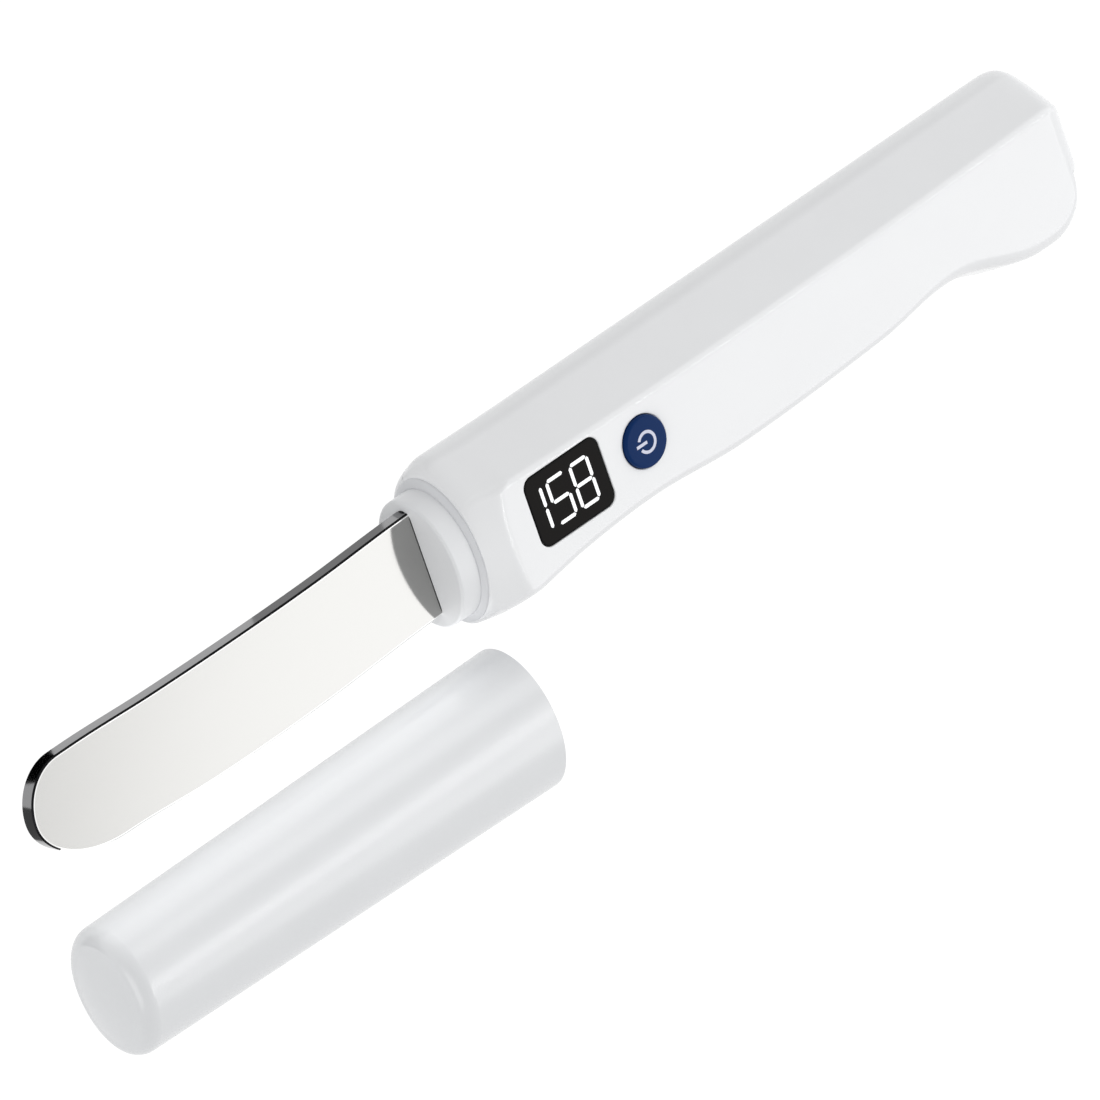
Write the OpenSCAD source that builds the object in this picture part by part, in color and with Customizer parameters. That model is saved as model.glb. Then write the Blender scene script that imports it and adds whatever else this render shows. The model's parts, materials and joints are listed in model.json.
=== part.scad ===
// Heated hand blade: polished steel blade in an oval neck, a moulded two-shell handle with a
// display and one button, and an oval cover that pulls off the blade.
// X runs from the tail to the blade's tip, Y towards the blade's lower edge, Z out of the face.
// The origin lies on the flat back, in the middle of the handle's length.

/* [Handle] */
// Length of the handle, rim to tail
handle_l = 137.6; // [134:0.2:160]
// Thickness of the handle, back to face
handle_t = 23; // [22.6:0.1:24]
// Wall of both shells
wall = 1.8; // [1.4:0.1:2]
// Height of the parting line above the back
part_z = 7.4; // [7:0.1:8]
// Distance of the spine from the blade axis
spine_y = 16.1; // [15.8:0.1:17]
// Extra width of the spine at the head
spine_flare = 0.45; // [0:0.1:1.2]
// Radius along the spine
spine_r = 6; // [5:0.25:7]
// Radius along the lower side
edge_r = 6; // [5:0.25:7]
// Lean of the lower side, in degrees
edge_lean = 18; // [10:1:24]
// Distance of the face's crease from the blade axis at mid length
crease_y = 8.8; // [8.4:0.1:9.4]
// How far the crease moves out at the head
crease_head = 1.1; // [0:0.1:1.5]
// How far the crease moves out at the tail
crease_tail = 1.7; // [0:0.1:2]
// Radius of the crease
crease_r = 1.4; // [0.8:0.1:2]
// Radius where the face meets the lower side
face_r = 2; // [1.4:0.1:2.6]
// The same radius at the heel
heel_face_r = 3.2; // [2:0.1:3.6]
// Radius round the tail's end
tail_r = 3.4; // [2.5:0.1:4]
// How far the tail's end bulges at mid height
tail_crown = 2; // [0:0.1:2.5]
// Radius of the tail's corner on the spine side, in plan
spine_corner_r = 5; // [3:0.5:6]
// Radius of the heel's corner, in plan
heel_corner_r = 7.5; // [6:0.5:9]

/* [Grip line] */
// Lower edge of the face at the rim
edge_head = 10.4; // [10:0.1:11]
// Lower edge at the finger waist
finger_waist = 7.6; // [7.2:0.1:8]
// Distance of the finger waist from the rim
finger_at = 37; // [34:1:40]
// Lower edge at the palm swell
palm_swell = 8.8; // [8:0.1:9.5]
// Distance of the palm swell from the rim
palm_at = 56; // [54:1:62]
// Lower edge at the start of the thumb waist
thumb_start = 7.7; // [7.2:0.1:8.4]
// Lower edge at the thumb waist
thumb_waist = 6; // [5.8:0.1:7]
// Distance of the thumb waist from the tail
thumb_at = 31; // [29:1:33]
// Lower edge at the heel
heel_flare = 10.9; // [10:0.1:11.5]

/* [Head] */
// Half width of the rim
rim_a = 13.5; // [13.3:0.1:14]
// Half height of the rim
rim_b = 10.2; // [10.1:0.1:10.6]
// Length of the slope from rim to face
slope_l = 5.6; // [5:0.1:7]
// Half length of the rounding between slope and face
slope_round = 0.8; // [0.5:0.1:1.2]
// Radius of the face's corners at the head, in plan
slope_corner = 3; // [2:0.25:4]
// Length of the rounded shoulder
shoulder_l = 3.2; // [2:0.2:4]
// Thickness of the head's end wall
head_wall = 2.2; // [1.8:0.1:2.4]

/* [Neck] */
// Offset of the neck's oval towards the spine
neck_mid = 0.5; // [0.2:0.1:0.6]
// Half width of the collar
collar_a = 11.75; // [11.5:0.05:11.9]
// Half height of the collar
collar_b = 9.2; // [9:0.05:9.3]
// How far the collar stands out of the rim
collar_out = 5.15; // [4.5:0.05:6]
// Depth of the collar inside the handle
collar_in = 9.3; // [9:0.1:9.4]
// Rounding of the collar's front edge
collar_edge = 0.5; // [0.3:0.1:0.8]
// Edge of the rim left free round the gasket
gasket_rim = 0.25; // [0.1:0.05:0.4]
// Height of the gasket out of the rim, at the collar
gasket_h = 0.9; // [0.6:0.1:1.2]
// Height of the gasket's outer edge
gasket_edge = 0.3; // [0.2:0.05:0.5]

/* [Blade] */
// Thickness of the blade
blade_t = 3; // [2.6:0.1:3.2]
// Length of the blade in front of the collar
blade_l = 88.8; // [80:0.1:110]
// Width of the tang
tang_w = 13; // [12:0.5:14]
// How far the tang reaches behind the rim
tang_in = 25; // [24.5:0.5:27]
// Length of the wide root inside the collar
root_in = 3.2; // [2.5:0.1:3.6]

/* [Display and button] */
// Length of the window
lens_l = 16.8; // [16:0.1:17.4]
// Width of the window
lens_w = 12.6; // [12:0.1:12.8]
// Thickness of the window
lens_t = 1.45; // [1.2:0.05:1.6]
// Corner radius of the window
lens_r = 2; // [1:0.25:3]
// Distance of the window's middle from the rim
lens_at = 19.5; // [19.3:0.1:20.4]
// Offset of the window and button towards the spine
face_mid = 1.95; // [1.8:0.05:2.1]
// Height of a digit
digit_h = 8.5; // [7.5:0.1:9]
// Width of a digit
digit_w = 4.6; // [4:0.1:4.8]
// Free window beyond the number at both ends
digit_margin = 1.85; // [1.5:0.05:2.2]
// Width of a segment
segment_w = 0.8; // [0.6:0.05:0.9]
// Diameter of the button
button_d = 8.9; // [8.4:0.1:9.4]
// Distance of the button from the rim
button_at = 36.7; // [36.4:0.1:38]
// How far the button stands out of the face
button_proud = 0.8; // [0.3:0.05:1]
// Travel of the button
button_travel = 0.6; // [0.3:0.05:0.6]

/* [Inside] */
// Height of the main board's underside
board_z = 14; // [13.8:0.1:14.2]
// Thickness of the boards
board_t = 1.2; // [0.8:0.1:1.4]
// Diameter of the cell
cell_d = 18.4; // [17.5:0.1:18.5]
// Length of the cell
cell_l = 65; // [50:0.5:65.5]
// Offset of the cell towards the spine
cell_y = 2.6; // [2.4:0.1:2.8]

/* [Cover] */
// Clearance between the cover and the neck
cover_gap = 0.2; // [0.15:0.05:0.3]
// Wall of the cover
cover_wall = 1; // [0.9:0.05:1.3]
// Free length in front of the blade's tip
cover_spare = 1; // [0.5:0.25:6]
// How far the cover's half width and half height draw in towards the closed end
cover_taper = 1.2; // [0:0.1:1.3]
// Radius of the cover's closed end
cover_end_r = 3; // [2:0.5:4]
// Distance of the laid-off cover from the blade axis
cover_y = 33.3; // [33:0.1:60]
// Distance of the laid-off cover's middle in front of the rim
cover_x = 43.5; // [30:0.5:60]

/* [Clearances] */
// Running clearance of the button in its hole
button_gap = 0.1; // [0.08:0.01:0.15]
// Running clearance of the switch plunger
plunger_gap = 0.05; // [0.03:0.01:0.08]
// Assembly clearance between fixed pieces
fit = 0.1; // [0.05:0.01:0.15]

/* [Hidden] */

mid_z = handle_t / 2;
rim_x = handle_l / 2;
tail_x = -handle_l / 2;
face_in = handle_t - wall;
seam = 0.1;

// ---------- handle form ----------

// Steps of the rounded stretches of a section
arc_n = 4;
// Steps across the face of a section
flat_n = 4;

function mix(a, b, u) = a + (b - a) * u;
function clamp01(u) = min(1, max(0, u));
// Smooth curve through points [x, y], level in slope at the first and the last one
function slope(p, i) = i <= 0 || i >= len(p) - 1 ? 0
    : (p[i + 1][1] - p[i - 1][1]) / (p[i + 1][0] - p[i - 1][0]);
function hermite(a, b, ma, mb, u) = let (h = b[0] - a[0])
    (2 * u * u * u - 3 * u * u + 1) * a[1] + (u * u * u - 2 * u * u + u) * h * ma
    + (3 * u * u - 2 * u * u * u) * b[1] + (u * u * u - u * u) * h * mb;
function curve(p, x, i = 0) = i >= len(p) - 2 || x <= p[i + 1][0]
    ? hermite(p[i], p[i + 1], slope(p, i), slope(p, i + 1),
        clamp01((x - p[i][0]) / (p[i + 1][0] - p[i][0])))
    : curve(p, x, i + 1);
// How far a plan corner of radius r has come in at distance d, for an end at distance l
function corner_in(d, l, r) = let (u = max(0, d - l + r)) r - sqrt(max(0, r * r - u * u));

grip_line = [[0, edge_head], [5, edge_head + 0.1], [20, mix(edge_head, finger_waist, 0.7)],
    [finger_at, finger_waist], [palm_at, palm_swell], [handle_l - 49, thumb_start],
    [handle_l - thumb_at, thumb_waist], [handle_l - 12, heel_flare]];
heel_end = tail_r * 0.5;

// Distances d are measured from the rim towards the tail
function edge_at(d) = curve(grip_line, d) - corner_in(d, handle_l - heel_end, heel_corner_r);
function crease_at(d) = let (u = (d - palm_at) / (d < palm_at ? palm_at : handle_l - palm_at))
    -crease_y - u * u * (d < palm_at ? crease_head : crease_tail);
function spine_at(d) = -spine_y - spine_flare * pow(clamp01(1 - d / 24), 2)
    + corner_in(d, handle_l, spine_corner_r);
function end_in(d) = corner_in(d, handle_l, tail_r);

function face_r_at(d) = curve([[handle_l - 44, face_r], [handle_l - 24, heel_face_r]], d);

// Corner fillet between the flat face and a leaning side
function corner_y(c, r, lean, side, half) = c + side * (r - half * sin(lean)) / cos(lean);
function arc_pts(cy, cz, r, a0, a1, n) = [for (i = [0:n]) let (a = mix(a0, a1, i / n))
    [cy + r * cos(a), cz + r * sin(a)]];

// Front half of the section at distance d, brought in by inset, from lower side to spine
function half_section(d, inset) = let (
    half = mid_z - inset,
    spine_c = spine_at(d) + spine_r,
    rise = crease_at(d),
    reach = sqrt(pow(spine_c - rise, 2) + mid_z * mid_z),
    lean = asin(spine_r / reach) - atan2(spine_c - rise, mid_z),
    edge_c = edge_at(d) - (edge_r - mid_z * sin(edge_lean)) / cos(edge_lean),
    rs = spine_r - inset,
    re = edge_r - inset,
    ys = corner_y(spine_c, rs, lean, -1, half),
    ye = corner_y(edge_c, re, edge_lean, 1, half),
    cr = max(0.3, crease_r - inset),
    fr = max(0.3, face_r_at(d) - inset),
    yc = ys + cr * tan((90 - lean) / 2),
    yf = ye - fr * tan((90 - edge_lean) / 2))
    concat(arc_pts(edge_c, 0, re, 0, edge_lean, arc_n),
        arc_pts(yf, half - fr, fr, edge_lean, 90, arc_n),
        [for (i = [1:flat_n - 1]) [mix(yf, yc, i / flat_n), half]],
        arc_pts(yc, half - cr, cr, 90, 180 - lean, arc_n),
        arc_pts(spine_c, 0, rs, 180 - lean, 180, arc_n));
function mirrored(p) = [for (i = [len(p) - 2:-1:1]) [p[i][0], -p[i][1]]];
function full_section(d, inset) = let (h = half_section(d, inset)) concat(h, mirrored(h));

// The section runs over from the rim's oval to the faceted grip
function head_y(d) = let (u = clamp01(1 - d / shoulder_l)) sqrt(1 - u * u);
// A straight ramp that eases in over a rounding of half length b
function ramp(s, b) = s < -b ? 0 : s > b ? s : (s + b) * (s + b) / (4 * b);
function head_z(d, y) = let (corner = corner_in(-y, -crease_at(d), slope_corner)
        + corner_in(y, edge_at(d), slope_corner), l = slope_l + corner)
    1 - ramp(l - d, slope_round) / l;
function ring(d, inset) = let (a = rim_a - inset, b = rim_b - inset, wy = head_y(d))
    [for (p = full_section(d, inset + end_in(d))) let (t = atan2(p[1] / b, (p[0] + neck_mid) / a))
        [rim_x - d, mix(a * cos(t) - neck_mid, p[0], wy),
            mid_z + mix(b * sin(t), p[1], head_z(d, p[0]))]];
// The tail bulges towards its end, most at mid height
tail_run = 14;
function crowned(r) = [for (p = r) let (
    u = clamp01((tail_x + tail_run - p[0]) / tail_run),
    v = (p[2] - mid_z) / mid_z)
    [p[0] - tail_crown * u * u * (1 - v * v), p[1], p[2]]];
// Ring drawn in towards the middle of the tail's end by a share k
function end_ring(k) = let (r = ring(handle_l, 0), c = (spine_at(handle_l) + edge_at(handle_l)) / 2)
    [for (p = r) [p[0], c + (p[1] - c) * k, mid_z + (p[2] - mid_z) * k]];

// Solid through a row of rings with equal counts of points
module loft(rings) {
    n = len(rings[0]);
    m = len(rings);
    polyhedron(
        points = [for (r = rings) for (p = r) p],
        faces = concat(
            [[for (i = [n - 1:-1:0]) i]],
            [for (j = [0:m - 2]) for (i = [0:n - 1]) let (k = (i + 1) % n)
                for (f = [[j * n + i, j * n + k, (j + 1) * n + k],
                    [j * n + i, (j + 1) * n + k, (j + 1) * n + i]]) f],
            [[for (i = [0:n - 1]) (m - 1) * n + i]]));
}

// Distances from the rim at which the handle's rings lie
head_steps = [0, 0.25, 0.7, 1.3, 2.1, 3.2, 4.2, slope_l - slope_round, slope_l, slope_l + slope_round,
    slope_l + 2, slope_l + 3.2];
grip_steps = [for (i = [1:16]) mix(slope_l + 3.2, handle_l - 12, i / 16)];
tail_steps = [for (u = [0.25, 0.5, 0.7]) mix(handle_l - 12, handle_l - tail_r, u)];
end_steps = [for (a = [0:18:90]) handle_l - tail_r * (1 - sin(a))];

module handle_solid() {
    loft([for (r = concat([for (d = concat(head_steps, grip_steps, tail_steps, end_steps)) ring(d, 0)],
        [for (k = [0.8, 0.5, 0.2]) end_ring(k)])) crowned(r)]);
}
module handle_cavity() {
    inner_end = handle_l - wall;
    steps = concat([head_wall, 3.2, slope_l - slope_round, slope_l + slope_round, slope_l + 3.2],
        [for (i = [1:10]) mix(slope_l + 3.2, handle_l - 12, i / 10)],
        [for (u = [0.3, 0.6, 0.8, 0.93, 1]) mix(handle_l - 12, inner_end, u)]);
    loft([for (d = steps) ring(d, wall)]);
}

module upper_half() {
    translate([tail_x - 5, -40, part_z]) cube([handle_l + 10, 80, 40]);
}
module lower_half() {
    translate([tail_x - 5, -40, -1]) cube([handle_l + 10, 80, part_z + 1 - seam]);
}

// Blocks, posts and ovals are placed by their distance d behind the rim
module oval(a, b) {
    polygon([for (i = [0:47]) [a * cos(i * 7.5), b * sin(i * 7.5)]]);
}
// Oval prism round the blade axis
module oval_bar(a, b, d0, d1) {
    translate([rim_x - d1, -neck_mid, mid_z]) rotate([90, 0, 90]) linear_extrude(d1 - d0) oval(a, b);
}
module block(d0, d1, y, w, z0, z1) {
    translate([rim_x - d1, y - w / 2, z0]) cube([d1 - d0, w, z1 - z0]);
}
module post(d, y, r, z0, z1) {
    translate([rim_x - d, y, z0]) cylinder(h = z1 - z0, r = r, $fn = 32);
}
module rounded(l, w, r) {
    square([l - 2 * r, w], center = true);
    square([l, w - 2 * r], center = true);
    for (x = [-1, 1]) for (y = [-1, 1])
        translate([x * (l / 2 - r), y * (w / 2 - r)]) circle(r, $fn = 32);
}
// Plate with round corners, centred at distance d and offset y
module plate(d, y, l, w, r, z0, z1) {
    translate([rim_x - d, y, z0]) linear_extrude(z1 - z0) rounded(l, w, r);
}

// ---------- places shared by several pieces ----------

socket_b = 6.5;
// Window: the glass lies in a pocket on a foam frame, over the window opening
lens_sink = 0.05;
tape_t = 0.2;
ledge_w = 0.8;
lens_top = handle_t - lens_sink;
ledge_z = lens_top - lens_t - tape_t;
window_l = lens_l - 2 * ledge_w;
window_w = lens_w - 2 * ledge_w;
digit_pitch = (window_l - 2 * digit_margin - segment_w) / 2;
frame_z = ledge_z - 1.3;
board_top = board_z + board_t;
// Button stack
cap_z = face_in - 1;
flange_gap = 0.15;
button_r = button_d / 2;
button_flange_r = button_r + 0.7;
pad_t = 0.8;
pad_z = cap_z - pad_t;
switch_top = pad_z - button_travel - 0.2;
plunger_r = 1.7;
plunger_z = pad_z - 2.2;
// Main board
board_d0 = 9.6;
board_w = 14.8;
board_screw_r = 0.8;
boss_r = 1.9;
// Housing screws: distance from the rim, offset
screw_spots = [[13, -11.3], [13, 8.4], [handle_l - 5.4, -11.3], [handle_l - 5.6, 6.2]];
screw_r = 0.85;
screw_head_r = 1.6;
screw_head_t = 1.3;
screw_sink = part_z - 1.5;
screw_end = 13;
screw_boss_r = 1.8;
// Cell and charging inlet
cell_r = cell_d / 2;
cell_d1 = handle_l - 10.5;
cell_d0 = cell_d1 - cell_l;
// The main board ends in front of the cell and is held by two screws
lead_room = 7.5;
board_d1 = cell_d0 - lead_room;
board_posts = [[31.4, 4], [board_d1 - 2.6, -7]];
usb_w = 8.9;
usb_h = 3.2;
usb_l = 7.1;
usb_skin = 0.3;
usb_d1 = handle_l + tail_crown - 0.2;
usb_z0 = mid_z - usb_h / 2;
charge_t = 1;
charge_d0 = handle_l - 9.6;
charge_d1 = handle_l - 2;
charge_w = 13;

module usb_bar(w, h, d0, d1) {
    translate([rim_x - d1, -cell_y, mid_z]) rotate([90, 0, 90]) linear_extrude(d1 - d0)
        rounded(w, h, h / 2 - 0.01);
}

// ---------- handle shells ----------

module neck_path() {
    oval_bar(collar_a + fit, collar_b + fit, -1, rib_d - 0.01);
    oval_bar(flange_a + fit, collar_b + fit, head_wall, rib_d - 0.01);
    oval_bar(collar_a + fit, socket_b + fit, -1, rib_d + rib_t + 0.01);
}
module front_housing() color("white") {
    difference() {
        intersection() {
            handle_solid();
            upper_half();
        }
        difference() {
            handle_cavity();
            block(rib_d, rib_d + rib_t, 0, 60, 0, handle_t);
            block(lens_at - lens_l / 2 - 1.2, lens_at + lens_l / 2 + 1.2, -face_mid, lens_w + 1.6,
                frame_z, handle_t);
            for (p = screw_spots) post(p[0], p[1], screw_boss_r, 0, handle_t);
            for (p = board_posts) post(p[0], p[1], boss_r, board_top, handle_t);
        }
        neck_path();
        plate(lens_at, -face_mid, lens_l + 2 * fit, lens_w + 2 * fit, lens_r + fit, ledge_z, handle_t + 1);
        plate(lens_at, -face_mid, window_l, window_w, lens_r - ledge_w, frame_z - 1, handle_t);
        post(button_at, -face_mid, button_r + button_gap, face_in - 1, handle_t + 1);
        for (p = screw_spots) post(p[0], p[1], screw_r + plunger_gap, part_z - 1, screw_end + 0.5);
        for (p = board_posts) post(p[0], p[1], board_screw_r + plunger_gap, board_z,
            board_top + board_screw_grip + 0.5);
        usb_bar(usb_w + 2 * fit, usb_h + 2 * fit, usb_d1 - usb_l - 1, usb_d1 + 2);
    }
}
module rear_cover() color("white") {
    difference() {
        intersection() {
            handle_solid();
            lower_half();
        }
        difference() {
            handle_cavity();
            block(rib_d, rib_d + rib_t, 0, 60, 0, handle_t);
            for (p = screw_spots) post(p[0], p[1], screw_boss_r + 0.8, 0, handle_t);
        }
        neck_path();
        for (p = screw_spots) {
            post(p[0], p[1], screw_r + fit, -1, part_z + 1);
            post(p[0], p[1], screw_head_r + 2 * fit, -1, screw_sink);
        }
    }
    // Pegs that carry the charging board
    for (y = [-5, 5]) post(charge_d0 + 3, y - cell_y, 1.2, wall - 0.2, usb_z0 - charge_t);
}
module housing_screws() color("dimgray") {
    for (p = screw_spots) {
        post(p[0], p[1], screw_r, screw_sink - 0.5, screw_end);
        post(p[0], p[1], screw_head_r, screw_sink - screw_head_t, screw_sink);
    }
}

// ---------- neck and blade ----------

// The collar's flange sits between the head's end wall and a rib behind it
flange_a = collar_a + 1.2;
flange_d = head_wall + fit;
flange_l = 2;
rib_d = flange_d + flange_l + fit;
rib_t = 1.4;

module collar_slot(extra) {
    // The wide pocket at the mouth takes the blade's root, the rear slot its tang
    translate([0, 0, mid_z - blade_t / 2 - extra])
        linear_extrude(blade_t + 2 * extra)
            offset(delta = extra) {
                intersection() {
                    blade_outline();
                    translate([rim_x - root_in, -20]) square([root_in + collar_out + 2, 40]);
                }
                tang_outline();
            }
}
module neck_collar() color("whitesmoke") {
    difference() {
        union() {
            oval_bar(collar_a, collar_b, -collar_out + collar_edge, flange_d);
            hull() {
                oval_bar(collar_a, collar_b, -collar_out + collar_edge, -collar_out + 2);
                oval_bar(collar_a - collar_edge, collar_b - collar_edge, -collar_out, 0);
            }
            oval_bar(flange_a, collar_b, flange_d, flange_d + flange_l);
            oval_bar(collar_a, socket_b, flange_d + flange_l, collar_in);
        }
        collar_slot(fit / 2);
        for (y = screw_ys) post(blade_screw_d, y, blade_screw_r + fit / 2, 0, handle_t);
    }
}
module neck_gasket() color("gainsboro") {
    difference() {
        hull() {
            oval_bar(rim_a - gasket_rim, rim_b - gasket_rim, -gasket_edge, 0);
            oval_bar(collar_a + gasket_rim, collar_b + gasket_rim, -gasket_h, 0);
        }
        oval_bar(collar_a + 0.02, collar_b + 0.02, -gasket_h - 1, 1);
    }
}

// Plan outline of the blade: share of its reach in front of the rim, distance across
blade_tip = collar_out + blade_l;
spine_line = [[-0.04, -10.4], [0.1, -10.2], [0.28, -9.5], [0.47, -9.3], [0.68, -9.5], [0.88, -10.1]];
belly_line = [[-0.04, 8.6], [0.1, 8.75], [0.32, 9.75], [0.47, 10.05], [0.63, 9.9], [0.82, 9]];
tip_y = -1.2;
tip_top = 0.91;
tip_low = 0.82;
tip_n = 10;
function tip_arc(u, y) = [for (i = [0:tip_n]) let (a = 90 * i / tip_n)
    [blade_tip * mix(u, 1, sin(a)), tip_y + (y - tip_y) * cos(a)]];
function along(line, u) = [blade_tip * u, curve(line, u)];
blade_pts = let (
    top = [for (u = [0:0.08:tip_top - 0.03]) along(spine_line, u)],
    low = [for (u = [tip_low - 0.02:-0.08:0]) along(belly_line, u)],
    nose = tip_arc(tip_top, curve(spine_line, tip_top)),
    chin = tip_arc(tip_low, curve(belly_line, tip_low)))
    concat([[-root_in, spine_line[0][1]]], top, nose, [for (i = [tip_n - 1:-1:0]) chin[i]], low,
        [[-root_in, belly_line[0][1]]]);
module blade_outline() {
    polygon([for (p = blade_pts) [rim_x + p[0], p[1]]]);
}
tang_mid = -1;
module tang_outline() {
    translate([rim_x - tang_in, tang_mid - tang_w / 2]) square([tang_in - root_in + 1, tang_w]);
}
blade_screw_d = 7.5;
blade_head_r = 1.5;
blade_screw_r = 1;
screw_ys = [tang_mid - 3.8, tang_mid + 3.8];

module blade() color("silver") {
    // The edges are broken by a small chamfer on both faces
    chamfer = 0.25;
    z0 = mid_z - blade_t / 2;
    difference() {
        union() {
            translate([0, 0, z0 + chamfer]) linear_extrude(blade_t - 2 * chamfer) blade_outline();
            translate([0, 0, z0]) linear_extrude(blade_t) offset(delta = -chamfer) blade_outline();
            translate([0, 0, z0]) linear_extrude(blade_t) tang_outline();
        }
        for (y = screw_ys) post(blade_screw_d, y, blade_screw_r + fit / 2, 0, handle_t);
    }
}
module blade_screws() color("dimgray") {
    for (y = screw_ys) {
        post(blade_screw_d, y, blade_screw_r, mid_z - socket_b - 0.2, mid_z + 4.5);
        post(blade_screw_d, y, blade_head_r, mid_z - socket_b - 1.3, mid_z - socket_b);
    }
}

// ---------- heater on the tang ----------

heater_d0 = 10;
heater_d1 = 22;
heater_w = 10;
heater_t = 1.2;
mica_t = 0.3;
clip_t = 0.5;
clip_d0 = 12;
clip_d1 = 20;
tang_z0 = mid_z - blade_t / 2;
tang_z1 = mid_z + blade_t / 2;
heater_z = tang_z0 - heater_t;
mica_z = heater_z - mica_t;

module heater_plate() color("ivory") {
    block(heater_d0, heater_d1, tang_mid, heater_w, heater_z, tang_z0);
}
module mica_sheet() color("darkkhaki") {
    block(heater_d0 - 0.5, heater_d1 + 0.5, tang_mid, heater_w + 1, mica_z, heater_z);
}
// Spring clip round the heater and the tang, open above the tang's middle
module heater_clip() color("silver") {
    w = tang_w + 2 * fit;
    difference() {
        block(clip_d0, clip_d1, tang_mid, w + 2 * clip_t, mica_z - clip_t, tang_z1 + clip_t);
        block(clip_d0 - 1, clip_d1 + 1, tang_mid, w, mica_z, tang_z1);
        block(clip_d0 - 1, clip_d1 + 1, tang_mid, w - 4, tang_z1 - 0.1, tang_z1 + 1);
    }
}
bead_r = 0.45;
module thermistor() color("tomato") {
    translate([rim_x - 23, tang_mid - 1.2, tang_z1 + bead_r]) rotate([-90, 0, 0])
        cylinder(h = 2.4, r = bead_r, $fn = 24);
    for (y = [-1, 1]) post(23, tang_mid + y * 0.9, 0.18, tang_z1 + bead_r, board_z);
}

// ---------- display ----------

module display_lens() color("black") {
    plate(lens_at, -face_mid, lens_l, lens_w, lens_r, lens_top - lens_t, lens_top);
}
module lens_tape() color("black") {
    difference() {
        plate(lens_at, -face_mid, lens_l - 0.1, lens_w - 0.1, lens_r, ledge_z, ledge_z + tape_t);
        plate(lens_at, -face_mid, window_l, window_w, lens_r - ledge_w, ledge_z - 1, ledge_z + 1);
    }
}
module display_module() color("darkslategray") {
    half = lens_l / 2 - 0.4;
    block(lens_at - half, lens_at + half, -face_mid, window_w + 0.8, board_top, frame_z - fit);
    plate(lens_at, -face_mid, window_l - 2 * fit, window_w - 2 * fit, lens_r - ledge_w,
        frame_z - fit, ledge_z);
}
// One bar of a digit, along x from its middle
module bar(l) {
    h = segment_w / 2;
    polygon([[-l / 2, 0], [h - l / 2, h], [l / 2 - h, h], [l / 2, 0], [l / 2 - h, -h], [h - l / 2, -h]]);
}
bar_gap = 0.12;
bar_w = digit_w - segment_w;
bar_h = (digit_h - segment_w) / 2;
// The two upright bars of one side, which alone make a figure one
module side_bars() {
    for (j = [-1, 1]) translate([0, j * bar_h / 2]) rotate(90) bar(bar_h - bar_gap);
}
module digit() {
    side_bars();
    translate([-bar_w, 0]) side_bars();
    for (j = [-1:1]) translate([-bar_w / 2, j * bar_h]) bar(bar_w - bar_gap);
}
module digit_segments() color("white") {
    translate([rim_x - lens_at, -face_mid, ledge_z]) rotate(180) linear_extrude(tape_t) {
        translate([-digit_pitch, 0]) side_bars();
        digit();
        translate([digit_pitch, 0]) digit();
    }
}

// ---------- button ----------

module power_button() color("midnightblue") {
    top = handle_t + button_proud;
    translate([rim_x - button_at, -face_mid, 0]) rotate_extrude($fn = 64) polygon([[0, cap_z],
        [button_flange_r, cap_z], [button_flange_r, face_in - flange_gap],
        [button_r, face_in - flange_gap], [button_r, top - 0.4], [button_r - 0.15, top - 0.18],
        [button_r - 0.5, top - 0.08], [button_r - 1.4, top], [0, top]]);
}
module button_pad() color("lightgray") {
    post(button_at, -face_mid, 2.4, pad_z, cap_z);
}
module switch_plunger() color("saddlebrown") {
    post(button_at, -face_mid, plunger_r, plunger_z, pad_z);
}
module switch_body() color("dimgray") {
    difference() {
        block(button_at - 3, button_at + 3, -face_mid, 6, board_top, switch_top);
        post(button_at, -face_mid, plunger_r + plunger_gap, plunger_z - button_travel - 0.2, handle_t);
    }
}

// ---------- main board ----------

module main_board() color("darkgreen") {
    difference() {
        block(board_d0, board_d1, -face_mid, board_w, board_z, board_top);
        for (p = board_posts) post(p[0], p[1], board_screw_r + fit, 0, handle_t);
    }
}
board_screw_grip = 3;
board_head_r = 1.6;
board_head_t = 1.1;
module board_screws() color("dimgray") {
    for (p = board_posts) {
        post(p[0], p[1], board_screw_r, board_z - board_head_t / 2, board_top + board_screw_grip);
        post(p[0], p[1], board_head_r, board_z - board_head_t, board_z);
    }
}
module control_chip() color("black") {
    block(29.6, 34.6, -5.5, 5, board_z - 0.9, board_z);
}
module heater_driver() color("black") {
    block(board_d1 - 7.5, board_d1 - 2.5, 0.5, 5, board_z - 1.1, board_z);
}
module boost_inductor() color("gray") {
    plate(board_d1 - 4, 3.6, 4.4, 4.4, 1, board_top, board_top + 3);
}
module board_capacitors() color("tan") {
    for (d = [11.5, 9.5, 7.5])
        block(board_d1 - d, board_d1 - d + 1, -7.2, 1.6, board_top, board_top + 0.9);
}

// ---------- cell ----------

module battery_cell() color("royalblue") {
    translate([rim_x - cell_d1, -cell_y, mid_z]) rotate([90, 0, 90]) rotate_extrude($fn = 64)
        polygon([[0, 0], [cell_r - 0.5, 0], [cell_r, 0.5], [cell_r, cell_l - 1.6],
            [cell_r - 0.5, cell_l - 1.1], [3, cell_l - 1.1], [3, cell_l], [0, cell_l]]);
}
tab_t = 0.2;
tab_w = 5;
tab_tail_w = 7;
tab_down = 2.5;
tab_up = 4;
module cell_tabs() color("silver") {
    block(cell_d0 - tab_t, cell_d0, -cell_y, tab_w, mid_z - tab_down, mid_z + tab_up);
    block(cell_d1, cell_d1 + tab_t, -cell_y, tab_tail_w, mid_z - tab_down, mid_z + tab_up);
}
cradle_in = 5;
cradle_w = 9.6;
cradle_h = 3.2;
pad_in = 10;
pad_w = 5;
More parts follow.
